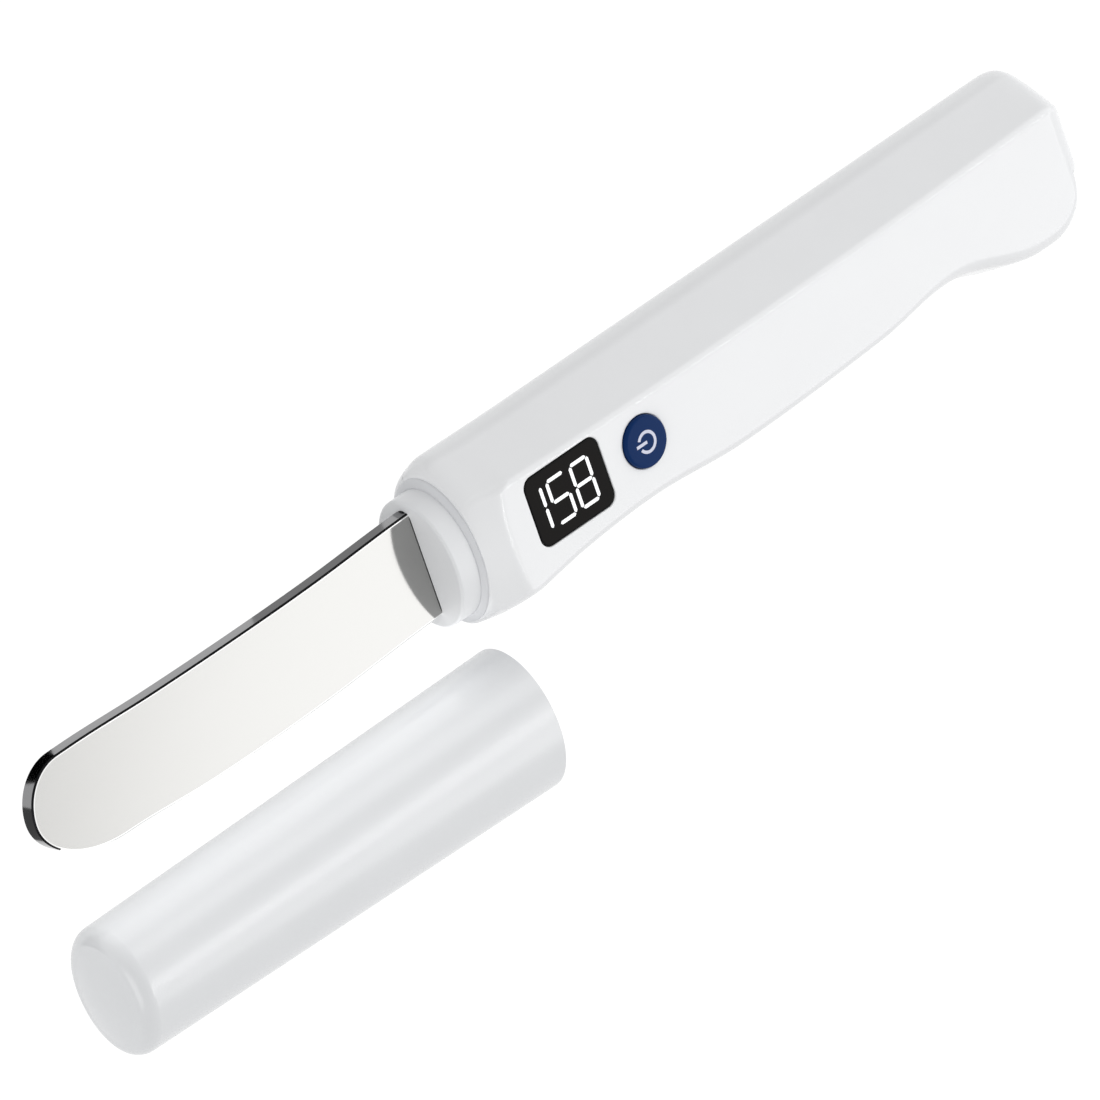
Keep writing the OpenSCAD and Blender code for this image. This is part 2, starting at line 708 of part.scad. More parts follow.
module cell_cradle() color("dimgray") {
    difference() {
        block(cell_d0 + cradle_in, cell_d1 - cradle_in, -cell_y, cradle_w, wall,
            mid_z - cell_r + cradle_h);
        translate([tail_x, -cell_y, mid_z]) rotate([0, 90, 0])
            cylinder(h = handle_l, r = cell_r + plunger_gap, $fn = 64);
    }
}
module cell_pad() color("black") {
    block(cell_d0 + pad_in, cell_d1 - pad_in, -cell_y, pad_w, mid_z + cell_r, face_in);
}

// ---------- charging inlet ----------

module charge_board() color("darkgreen") {
    block(charge_d0, charge_d1, -cell_y, charge_w, usb_z0 - charge_t, usb_z0);
}
module charge_chip() color("black") {
    block(charge_d0 + 1, charge_d0 + 4, -cell_y, 3, usb_z0 - charge_t - 0.8, usb_z0 - charge_t);
}
module usb_socket() color("silver") {
    difference() {
        usb_bar(usb_w, usb_h, usb_d1 - usb_l, usb_d1);
        usb_bar(usb_w - 2 * usb_skin, usb_h - 2 * usb_skin, usb_d1 - usb_l + 0.8, usb_d1 + 1);
    }
}
module usb_tongue() color("black") {
    block(usb_d1 - usb_l + 0.8, usb_d1 - 1, -cell_y, 6.6, mid_z - 0.35, mid_z + 0.35);
}

// ---------- wires ----------

function unit(v) = v / norm(v);
// Tube along points, its rings square to the route; the routes never run along Y
module wire(p, r) {
    n = len(p);
    loft([for (i = [0:n - 1]) let (
        t = unit(p[min(n - 1, i + 1)] - p[max(0, i - 1)]),
        u = unit(cross(t, [0, 1, 0])), v = cross(t, u))
        [for (k = [0:7]) p[i] + r * (cos(k * 45) * u + sin(k * 45) * v)]]);
}
// Run along x whose ends are level, drifting smoothly across
function run(a, b, n = 6) = [for (i = [0:n]) let (u = i / n, v = u * u * (3 - 2 * u))
    [mix(a[0], b[0], u), mix(a[1], b[1], v), mix(a[2], b[2], v)]];
// Quarter turn that leaves along x and arrives upright
function turn(a, b) = [for (i = [1:6]) let (u = i * 15)
    [mix(a[0], b[0], sin(u)), mix(a[1], b[1], (1 - cos(2 * u)) / 2), mix(a[2], b[2], 1 - cos(u))]];
wire_r = 0.55;
wire_gap = 0.1;
side_y = -12.8;
module battery_leads() color("crimson") {
    wire(run([rim_x - cell_d0 + tab_t + wire_gap, -cell_y, mid_z + 3],
        [rim_x - board_d1 - wire_gap, -5, board_z + board_t / 2]), wire_r);
    wire(run([rim_x - charge_d0 + wire_gap, -cell_y - 2, usb_z0 - charge_t / 2],
        [rim_x - cell_d1 - tab_t - wire_gap, -cell_y - 2, usb_z0 - charge_t / 2], 1), wire_r);
}
module heater_leads() color("white") {
    for (y = [-3, 3]) {
        level = [rim_x - tang_in - 0.4, tang_mid + y, heater_z + 0.5];
        wire(concat([[rim_x - heater_d1, level[1], level[2]], level],
            turn(level, [level[0] - 3, tang_mid + y * 1.3, board_z - wire_gap])), 0.5);
    }
}
module charge_leads() color("crimson") {
    edge_y = -cell_y - charge_w / 2;
    for (s = [-1, 1]) {
        y0 = -7.4 + s * 0.8;
        z0 = board_z + board_t / 2;
        z1 = mid_z + s * 2;
        z2 = usb_z0 - charge_t / 2 + (s + 1) * 0.6;
        // Distance, offset and height of the points: round the cell to the charging board's edge
        route = [[board_d1 + wire_gap, y0, z0], [board_d1 + 1.5, y0, z0],
            [board_d1 + 4, (y0 + side_y) / 2, (z0 + z1) / 2], [board_d1 + 6.5, side_y, z1],
            [cell_d0 + 1, side_y, z1], [cell_d1 - 12, side_y, z1], [cell_d1 - 4, side_y, (z1 + z2) / 2],
            [cell_d1 - 0.5, side_y, z2], [cell_d1 + 0.4, side_y + 0.4, z2],
            [cell_d1 + 1.1, side_y + 1.8, z2], [cell_d1 + 1.8, edge_y - 0.5 + (s + 1) * 0.5, z2]];
        wire([for (p = route) [rim_x - p[0], p[1], p[2]]], wire_r);
    }
}

// ---------- cover ----------

cover_a = collar_a + cover_gap + cover_wall;
cover_b = collar_b + cover_gap + cover_wall;
cover_seat = 0.2;
cover_l = collar_out + blade_l + cover_spare + cover_wall - gasket_h - cover_seat;
dome_h = 1.2;

// The cover lies on its lower side, so its middle comes down as it draws in
function cover_ring(x, inset) = let (drawn = cover_taper * clamp01(x / cover_l))
    [for (i = [0:39]) [x, (cover_a - drawn - inset) * cos(i * 9),
        -(cover_b - drawn - inset) * sin(i * 9) - drawn]];
// Closed end of radius r at x = l, with a low dome
function cover_end(l, r, inset) = concat(
    [for (u = [0:15:90]) cover_ring(l - r + r * sin(u), inset + r * (1 - cos(u)))],
    [for (v = [0.75, 0.45, 0.15]) cover_ring(l + dome_h * (1 - v * v),
        inset + r + (cover_b - cover_taper - inset - r) * (1 - v))]);
module cover_shell() color("whitesmoke") {
    translate([rim_x + cover_x - cover_l / 2, cover_y, cover_b]) {
        difference() {
            loft(concat([cover_ring(0, 0)], cover_end(cover_l - dome_h, cover_end_r, 0)));
            loft(concat([cover_ring(-1, cover_wall)],
                cover_end(cover_l - dome_h - cover_wall, cover_end_r - cover_wall, cover_wall)));
        }
    }
}

front_housing();
rear_cover();
neck_collar();
neck_gasket();
blade();
blade_screws();
heater_plate();
mica_sheet();
heater_clip();
thermistor();
display_lens();
lens_tape();
display_module();
digit_segments();
power_button();
button_pad();
switch_plunger();
switch_body();
main_board();
control_chip();
heater_driver();
board_capacitors();
boost_inductor();
board_screws();
battery_cell();
cell_tabs();
cell_cradle();
cell_pad();
charge_board();
charge_chip();
usb_socket();
usb_tongue();
battery_leads();
heater_leads();
charge_leads();
housing_screws();
cover_shell();
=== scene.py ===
"""Dresses a cordless heated hand blade: shells, neck, blade, window, button, inlet and cover.

Each sub-assembly is a class with its sizes in millimetres as fields, in the frame of the solids:
X runs from the tail to the blade's tip, Y to the blade's lower edge and Z out of the face.
"""
import json
import logging
import math
from dataclasses import dataclass, field
from enum import Enum
from typing import Callable, Sequence

import bmesh
import bpy
from mathutils import Matrix, Vector


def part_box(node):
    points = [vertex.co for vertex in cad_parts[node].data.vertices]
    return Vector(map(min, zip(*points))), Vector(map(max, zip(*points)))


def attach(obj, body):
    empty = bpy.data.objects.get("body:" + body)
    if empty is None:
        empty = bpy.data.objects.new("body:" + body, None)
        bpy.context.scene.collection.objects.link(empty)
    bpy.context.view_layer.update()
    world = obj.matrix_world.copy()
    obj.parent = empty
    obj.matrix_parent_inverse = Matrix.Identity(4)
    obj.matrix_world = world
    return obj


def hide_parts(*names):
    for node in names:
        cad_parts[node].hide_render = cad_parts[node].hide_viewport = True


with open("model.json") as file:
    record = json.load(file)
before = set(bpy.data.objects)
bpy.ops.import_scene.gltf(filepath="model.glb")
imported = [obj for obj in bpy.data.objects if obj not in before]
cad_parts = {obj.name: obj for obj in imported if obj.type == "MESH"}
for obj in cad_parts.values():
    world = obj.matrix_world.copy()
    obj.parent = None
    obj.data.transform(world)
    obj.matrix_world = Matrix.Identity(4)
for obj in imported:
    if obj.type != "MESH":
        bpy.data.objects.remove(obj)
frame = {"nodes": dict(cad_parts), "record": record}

LOG = logging.getLogger("hand_blade")
MM = 0.001
Colour = tuple[float, float, float]
Point = tuple[float, float, float]
Flat = tuple[float, float]


class Element(Enum):
    """Parts of a mesh that can be selected."""

    EDGE = "EDGE"
    FACE = "FACE"


class Body(Enum):
    """Bodies that the pieces ride on."""

    HANDLE = "handle"
    BUTTON = "power_button"
    COVER = "cover"


class Cut(Enum):
    """Ways to combine two solids."""

    TAKE = "DIFFERENCE"
    KEEP = "INTERSECT"
    JOIN = "UNION"


# ---------- workbench ----------


def rest() -> None:
    """Leaves edit mode and deselects everything."""
    if bpy.context.object and bpy.context.object.mode != "OBJECT":
        bpy.ops.object.mode_set(mode="OBJECT")
    bpy.ops.object.select_all(action="DESELECT")


def take(piece: bpy.types.Object) -> None:
    """Makes a piece the only selected one and the active one.

    Args:
        piece: The object to work on.
    """
    rest()
    piece.select_set(True)
    bpy.context.view_layer.objects.active = piece


def settle(name: str) -> bpy.types.Object:
    """Names the active object and moves its place, turn and scale into its mesh.

    Args:
        name: The piece's name.

    Returns:
        The active object.
    """
    piece = bpy.context.object
    piece.name = name
    piece.data.name = name
    take(piece)
    bpy.ops.object.transform_apply(location=True, rotation=True, scale=True)
    return piece


def select(piece: bpy.types.Object, kind: Element, test: Callable[..., bool]) -> None:
    """Selects the elements of a piece in edit mode that pass a test.

    Args:
        piece: The piece, with places in metres.
        kind: Edges or faces.
        test: Takes a bmesh element and says whether it is wanted.
    """
    take(piece)
    bpy.ops.object.mode_set(mode="EDIT")
    bpy.ops.mesh.select_mode(type=kind.value)
    bpy.ops.mesh.select_all(action="DESELECT")
    mesh = bmesh.from_edit_mesh(piece.data)
    rows = mesh.edges if kind is Element.EDGE else mesh.faces
    for item in rows:
        if test(item):
            item.select_set(True)
    bmesh.update_edit_mesh(piece.data)


def level(axis: int, value: float, slack: float = 0.004) -> Callable[..., bool]:
    """Makes a test for edges or faces that lie at one height along an axis.

    Args:
        axis: 0, 1 or 2.
        value: The height in millimetres.
        slack: How far off it they may lie, in millimetres.

    Returns:
        The test.
    """
    return lambda item: all(abs(v.co[axis] / MM - value) < slack for v in item.verts)


def along(axis: int, value: float, other: float = 0.0) -> list[float]:
    """Gives three numbers, one value for an axis and another for the two other axes."""
    return [value if i == axis else other for i in range(3)]


def centre_of(low: Sequence[float], high: Sequence[float]) -> Point:
    """Gives the middle between two corners."""
    return tuple((a + b) / 2 for a, b in zip(low, high))


def extrude(move: Sequence[float] = (0, 0, 0)) -> None:
    """Extrudes the selected faces in edit mode by a move in millimetres."""
    bpy.ops.mesh.extrude_region_move(TRANSFORM_OT_translate={"value": [m * MM for m in move]})


def close_edit() -> None:
    """Turns all faces of the piece in edit mode outward and leaves edit mode."""
    bpy.ops.mesh.select_all(action="SELECT")
    bpy.ops.mesh.normals_make_consistent(inside=False)
    rest()


def block(name: str, low: Point, high: Point) -> bpy.types.Object:
    """Adds a block between two corners in millimetres.

    Args:
        name: The piece's name.
        low: Lowest corner.
        high: Highest corner.

    Returns:
        The block.
    """
    rest()
    middle = [c * MM for c in centre_of(low, high)]
    size = [(b - a) * MM for a, b in zip(low, high)]
    bpy.ops.mesh.primitive_cube_add(size=1, location=middle, scale=size)
    return settle(name)


def post(name: str, foot: Point, radius: float, height: float, sides: int = 64) -> bpy.types.Object:
    """Adds an upright round post.

    Args:
        name: The piece's name.
        foot: Middle of its lower end, in millimetres.
        radius: Its radius.
        height: Its height.
        sides: Number of sides.

    Returns:
        The post.
    """
    rest()
    middle = (foot[0] * MM, foot[1] * MM, (foot[2] + height / 2) * MM)
    bpy.ops.mesh.primitive_cylinder_add(vertices=sides, radius=radius * MM, depth=height * MM,
                                        location=middle)
    return settle(name)


def oval_bar(name: str, start: float, end: float, centre: Flat, half: Flat,
             sides: int = 192) -> bpy.types.Object:
    """Adds an oval bar along X.

    Args:
        name: The piece's name.
        start: Its lower end along X, in millimetres.
        end: Its higher end.
        centre: Middle of the oval, Y and Z.
        half: Half width along Y and half height along Z.
        sides: Number of sides.

    Returns:
        The bar.
    """
    rest()
    bpy.ops.mesh.primitive_cylinder_add(vertices=sides, radius=1, depth=1,
                                        rotation=(0, math.pi / 2, 0))
    settle(name)
    bpy.ops.transform.resize(value=((end - start) * MM, half[0] * MM, half[1] * MM),
                             center_override=(0, 0, 0))
    bpy.ops.transform.translate(value=((start + end) / 2 * MM, centre[0] * MM, centre[1] * MM))
    return settle(name)


def plate(name: str, centre: Flat, size: Flat, radius: float, bottom: float,
          top: float) -> bpy.types.Object:
    """Adds a flat plate with rounded corners.

    Args:
        name: The piece's name.
        centre: Its middle, X and Y in millimetres.
        size: Length along X and width along Y.
        radius: Corner radius.
        bottom: Height of its underside.
        top: Height of its upper side.

    Returns:
        The plate.
    """
    half = (size[0] / 2, size[1] / 2)
    piece = block(name, (centre[0] - half[0], centre[1] - half[1], bottom),
                  (centre[0] + half[0], centre[1] + half[1], top))
    select(piece, Element.EDGE, lambda e: abs(e.verts[0].co.z - e.verts[1].co.z) > MM * 0.01)
    bpy.ops.mesh.bevel(offset=radius * MM, segments=12, affect="EDGES")
    rest()
    return piece


def flare(piece: bpy.types.Object, axis: int, at: float, lip: float, centre: Point, half: Flat,
          outward: float = 1) -> None:
    """Draws the end of a cutting tool out into a rounded flare, which leaves a rounded lip.

    Args:
        piece: The tool, whose end face lies a lip's radius below the surface that it cuts.
        axis: The axis that the tool runs along.
        at: Where that end face lies along the axis.
        lip: Radius of the lip.
        centre: Middle of the end face.
        half: Half sizes of the end face along the other two axes.
        outward: 1 if the end faces up the axis, -1 if it faces down.
    """
    select(piece, Element.FACE, level(axis, at))
    steps = 5
    others = [i for i in range(3) if i != axis]
    grown = 0.0
    risen = 0.0
    for k in range(1, steps + 1):
        angle = math.pi / 2 * k / steps
        out, up = lip * (1 - math.cos(angle)), lip * math.sin(angle)
        extrude(along(axis, outward * (up - risen)))
        scale = [1.0, 1.0, 1.0]
        for i, h in zip(others, half):
            scale[i] = (h + out) / (h + grown)
        bpy.ops.transform.resize(value=scale, center_override=[c * MM for c in centre])
        grown, risen = out, up
    # The last millimetre carries the tool clear of the surface
    extrude(along(axis, outward))
    close_edit()


def crown(piece: bpy.types.Object, axis: int, at: float, rise: float, centre: Point,
          steps: int) -> None:
    """Raises a flat end into a low dome, ring by ring.

    Args:
        piece: The piece.
        axis: The axis that the end faces up.
        at: Where the end lies along the axis, in millimetres.
        rise: How far the dome rises.
        centre: A point on the dome's axis.
        steps: Number of rings.
    """
    select(piece, Element.FACE, level(axis, at))
    for k in range(1, steps):
        last, share = 1 - (k - 1) / steps, 1 - k / steps
        extrude()
        bpy.ops.transform.resize(value=along(axis, 1, share / last),
                                 center_override=[c * MM for c in centre])
        bpy.ops.transform.translate(value=along(axis, rise * (last * last - share * share) * MM))
    rest()


def combine(piece: bpy.types.Object, tool: bpy.types.Object, way: Cut) -> None:
    """Combines a piece with a tool, which is used up.

    Args:
        piece: The piece that is kept.
        tool: The other solid.
        way: How they are combined.
    """
    take(piece)
    modifier = piece.modifiers.new("cut", "BOOLEAN")
    modifier.operation = way.value
    modifier.solver = "EXACT"
    modifier.object = tool
    bpy.ops.object.modifier_apply(modifier=modifier.name)
    bpy.data.objects.remove(tool, do_unlink=True)


def join(parts: Sequence[bpy.types.Object], name: str) -> bpy.types.Object:
    """Joins pieces into one.

    Args:
        parts: The pieces.
        name: The name of the whole.

    Returns:
        The whole.
    """
    rest()
    for part in parts:
        part.select_set(True)
    bpy.context.view_layer.objects.active = parts[0]
    bpy.ops.object.join()
    return settle(name)


def round_edges(piece: bpy.types.Object, test: Callable[..., bool], radius: float,
                segments: int = 4) -> None:
    """Rounds the edges of a piece that pass a test.

    Args:
        piece: The piece.
        test: Takes an edge and says whether it is rounded.
        radius: The radius in millimetres.
        segments: Steps of the rounding.
    """
    select(piece, Element.EDGE, test)
    bpy.ops.mesh.bevel(offset=radius * MM, segments=segments, profile=0.5, affect="EDGES",
                       clamp_overlap=True)
    rest()


def smooth(piece: bpy.types.Object, degrees: float = 35) -> None:
    """Shades a piece smooth up to an angle, with flat faces kept flat.

    Args:
        piece: The piece.
        degrees: Edges sharper than this stay sharp.
    """
    take(piece)
    bpy.ops.object.shade_smooth_by_angle(angle=math.radians(degrees))
    modifier = piece.modifiers.new("flats", "WEIGHTED_NORMAL")
    modifier.keep_sharp = True
    modifier.weight = 100
    bpy.ops.object.modifier_apply(modifier=modifier.name)
    rest()


def loft(name: str, rings: Sequence[Sequence[Point]]) -> bpy.types.Object:
    """Draws a closed form through rings with equal counts of points.

    A disc is extruded once for each ring, and each row of its corners is then set on its ring.

    Args:
        name: The piece's name.
        rings: The rings, in millimetres.

    Returns:
        The form.
    """
    count = len(rings[0])
    rest()
    bpy.ops.mesh.primitive_circle_add(vertices=count, radius=MM, fill_type="NGON",
                                      rotation=(0, math.pi / 2, 0))
    piece = settle(name)
    select(piece, Element.FACE, lambda f: True)
    for _ in rings[1:]:
        extrude((-1, 0, 0))
    bpy.ops.object.mode_set(mode="OBJECT")
    turn = 2 * math.pi / count
    for v in piece.data.vertices:
        row = round(-v.co.x / MM)
        place = round(math.atan2(v.co.z, v.co.y) / turn) % count
        v.co = Vector(rings[row][place]) * MM
    select(piece, Element.FACE, lambda f: True)
    close_edit()
    return piece


def dress(piece: bpy.types.Object, finish: bpy.types.Material, body: Body, slot: str,
          *stands_for: str) -> None:
    """Gives a new piece its finish and its body, and hides the nodes that it stands for.

    Args:
        piece: The piece.
        finish: Its material.
        body: The body that it rides on.
        slot: The record's material slot; not used.
        stands_for: The nodes that it replaces.
    """
    piece.data.materials.clear()
    piece.data.materials.append(finish)
    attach(piece, body.value)
    if stands_for:
        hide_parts(*stands_for)
    LOG.info("%s: %d faces on %s", piece.name, len(piece.data.polygons), body.value)


def span(node: str) -> tuple[Vector, Vector]:
    """Gives a node's lowest and highest corners in millimetres.

    Args:
        node: The node's name.

    Returns:
        The two corners.
    """
    low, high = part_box(node)
    return low / MM, high / MM


# ---------- finishes ----------


@dataclass(frozen=True)
class Finish:
    """A moulded, painted or cast surface with faint unevenness in colour, gloss and level."""

    name: str
    colour: Colour
    roughness: float
    metallic: float = 0.0
    specular: float = 0.5
    mottle: float = 0.015
    mottle_size: float = 9.0
    grain: float = 0.004
    grain_size: float = 0.35
    gloss_spread: float = 0.04
    stretch: Point = (1.0, 1.0, 1.0)
    coat: float = 0.0
    coat_roughness: float = 0.08
    glow: float = 0.0

    def make(self) -> bpy.types.Material:
        """Builds the material's nodes.

        Returns:
            The material.
        """
        material = bpy.data.materials.new(self.name)
        material.use_nodes = True
        nodes, links = material.node_tree.nodes, material.node_tree.links
        shader = nodes["Principled BSDF"]
        shader.inputs["Metallic"].default_value = self.metallic
        shader.inputs["Specular IOR Level"].default_value = self.specular
        shader.inputs["Coat Weight"].default_value = self.coat
        shader.inputs["Coat Roughness"].default_value = self.coat_roughness
        if self.glow:
            shader.inputs["Emission Color"].default_value = (*self.colour, 1)
            shader.inputs["Emission Strength"].default_value = self.glow
        place = nodes.new("ShaderNodeTexCoord")
        turn = nodes.new("ShaderNodeMapping")
        turn.inputs["Scale"].default_value = self.stretch
        links.new(place.outputs["Object"], turn.inputs["Vector"])

        def noise(size: float, detail: float) -> bpy.types.Node:
            """Adds a noise.

            Args:
                size: Its size in millimetres.
                detail: How many finer layers it has.

            Returns:
                Its node.
            """
            node = nodes.new("ShaderNodeTexNoise")
            node.inputs["Scale"].default_value = 1 / (size * MM)
            node.inputs["Detail"].default_value = detail
            links.new(turn.outputs["Vector"], node.inputs["Vector"])
            return node

        patches = noise(self.mottle_size, 3)
        tint = nodes.new("ShaderNodeMix")
        tint.data_type = "RGBA"
        tint.inputs["A"].default_value = (*[c * (1 - self.mottle) for c in self.colour], 1)
        tint.inputs["B"].default_value = (*[min(1.0, c * (1 + self.mottle)) for c in self.colour], 1)
        links.new(patches.outputs["Fac"], tint.inputs["Factor"])
        links.new(tint.outputs["Result"], shader.inputs["Base Color"])
        gloss = nodes.new("ShaderNodeMapRange")
        gloss.inputs["To Min"].default_value = max(0.0, self.roughness - self.gloss_spread)
        gloss.inputs["To Max"].default_value = self.roughness + self.gloss_spread
        links.new(patches.outputs["Fac"], gloss.inputs["Value"])
        links.new(gloss.outputs["Result"], shader.inputs["Roughness"])
        bump = nodes.new("ShaderNodeBump")
        bump.inputs["Distance"].default_value = self.grain * MM
        links.new(noise(self.grain_size, 2).outputs["Fac"], bump.inputs["Height"])
        links.new(bump.outputs["Normal"], shader.inputs["Normal"])
        return material


SHELL = Finish("white_shell", (0.88, 0.888, 0.9), 0.19, specular=0.6)
NECK = Finish("white_neck", (0.81, 0.82, 0.835), 0.4, specular=0.45)
RING = Finish("soft_ring", (0.74, 0.75, 0.77), 0.55, specular=0.3)
COVER = Finish("white_cover", (0.77, 0.782, 0.797), 0.24, specular=0.9)
STEEL = Finish("polished_steel", (0.36, 0.358, 0.35), 0.1, metallic=1, mottle=0.01, grain=0.0006,
               grain_size=0.2, gloss_spread=0.015, stretch=(0.12, 1.0, 1.0))
# Ground sides of the blade: metal colour darkened well below the steel's, a painted darker
# reflection
EDGE = Finish("side_painted_dark_reflection", (0.26, 0.26, 0.265), 0.15, metallic=1, mottle=0.04, grain=0.002,
              grain_size=0.12, gloss_spread=0.04, stretch=(0.05, 1.0, 1.0))
# Near-black metal on the broken edges: a painted dark reflection
PAINTED_DARK_CHAMFER = Finish("chamfer_painted_dark_reflection", (0.01, 0.01, 0.011), 0.25, metallic=1, mottle=0.04, grain=0.0004)
# Near-white metal on the lips of the broken edges: a painted highlight
PAINTED_HIGHLIGHT_LIP = Finish("lip_painted_highlight", (0.92, 0.92, 0.91), 0.15, metallic=1, mottle=0.01, grain=0.0004)
GLASS = Finish("black_window", (0.008, 0.007, 0.0065), 0.2, specular=0.04, mottle=0.05,
               grain=0.0004)
GLASS_RIM = Finish("window_rim", (0.003, 0.003, 0.003), 0.4, specular=0.05, mottle=0.05,
                   grain=0.0004)
LIT = Finish("lit_segment", (0.95, 0.96, 0.97), 0.5, glow=0.35, mottle=0.005)
NAVY = Finish("navy_cap", (0.004, 0.027, 0.116), 0.3, specular=0.06, mottle=0.05, grain=0.003)
PRINT = Finish("symbol_print", (0.66, 0.68, 0.82), 0.45, mottle=0.02)
SCREW = Finish("screw_steel", (0.42, 0.42, 0.43), 0.32, metallic=1, grain=0.002, mottle=0.06)


# ---------- handle ----------


def mix(a: float, b: float, u: float) -> float:
    """Gives the value a share u of the way from a to b."""
    return a + (b - a) * u


def unit(u: float) -> float:
    """Keeps a value between 0 and 1."""
    return min(1.0, max(0.0, u))


def curve(points: Sequence[Flat], x: float) -> float:
    """Reads a smooth curve through points, level in slope at its first and last one.

    Args:
        points: Places along the curve and its values there.
        x: Where the curve is read.

    Returns:
        The curve's value.
    """
    i = 0
    while i < len(points) - 2 and x > points[i + 1][0]:
        i += 1

    def lean(k: int) -> float:
        """Gives the curve's slope at one of its points.

        Args:
            k: The point's number.

        Returns:
            The slope.
        """
        if k <= 0 or k >= len(points) - 1:
            return 0.0
        return (points[k + 1][1] - points[k - 1][1]) / (points[k + 1][0] - points[k - 1][0])

    (x0, y0), (x1, y1) = points[i], points[i + 1]
    run = x1 - x0
    u = unit((x - x0) / run)
    return ((2 * u ** 3 - 3 * u ** 2 + 1) * y0 + (u ** 3 - 2 * u ** 2 + u) * run * lean(i)
            + (3 * u ** 2 - 2 * u ** 3) * y1 + (u ** 3 - u ** 2) * run * lean(i + 1))


def corner_in(d: float, length: float, radius: float) -> float:
    """Says how far a corner of a radius has come in at a distance, for an end at a length."""
    u = max(0.0, d - length + radius)
    return radius - math.sqrt(max(0.0, radius * radius - u * u))


def arc(centre: Flat, radius: float, start: float, end: float, steps: int) -> list[Flat]:
    """Gives points along an arc, with angles in degrees."""
    angles = [math.radians(mix(start, end, i / steps)) for i in range(steps + 1)]
    return [(centre[0] + radius * math.cos(a), centre[1] + radius * math.sin(a)) for a in angles]


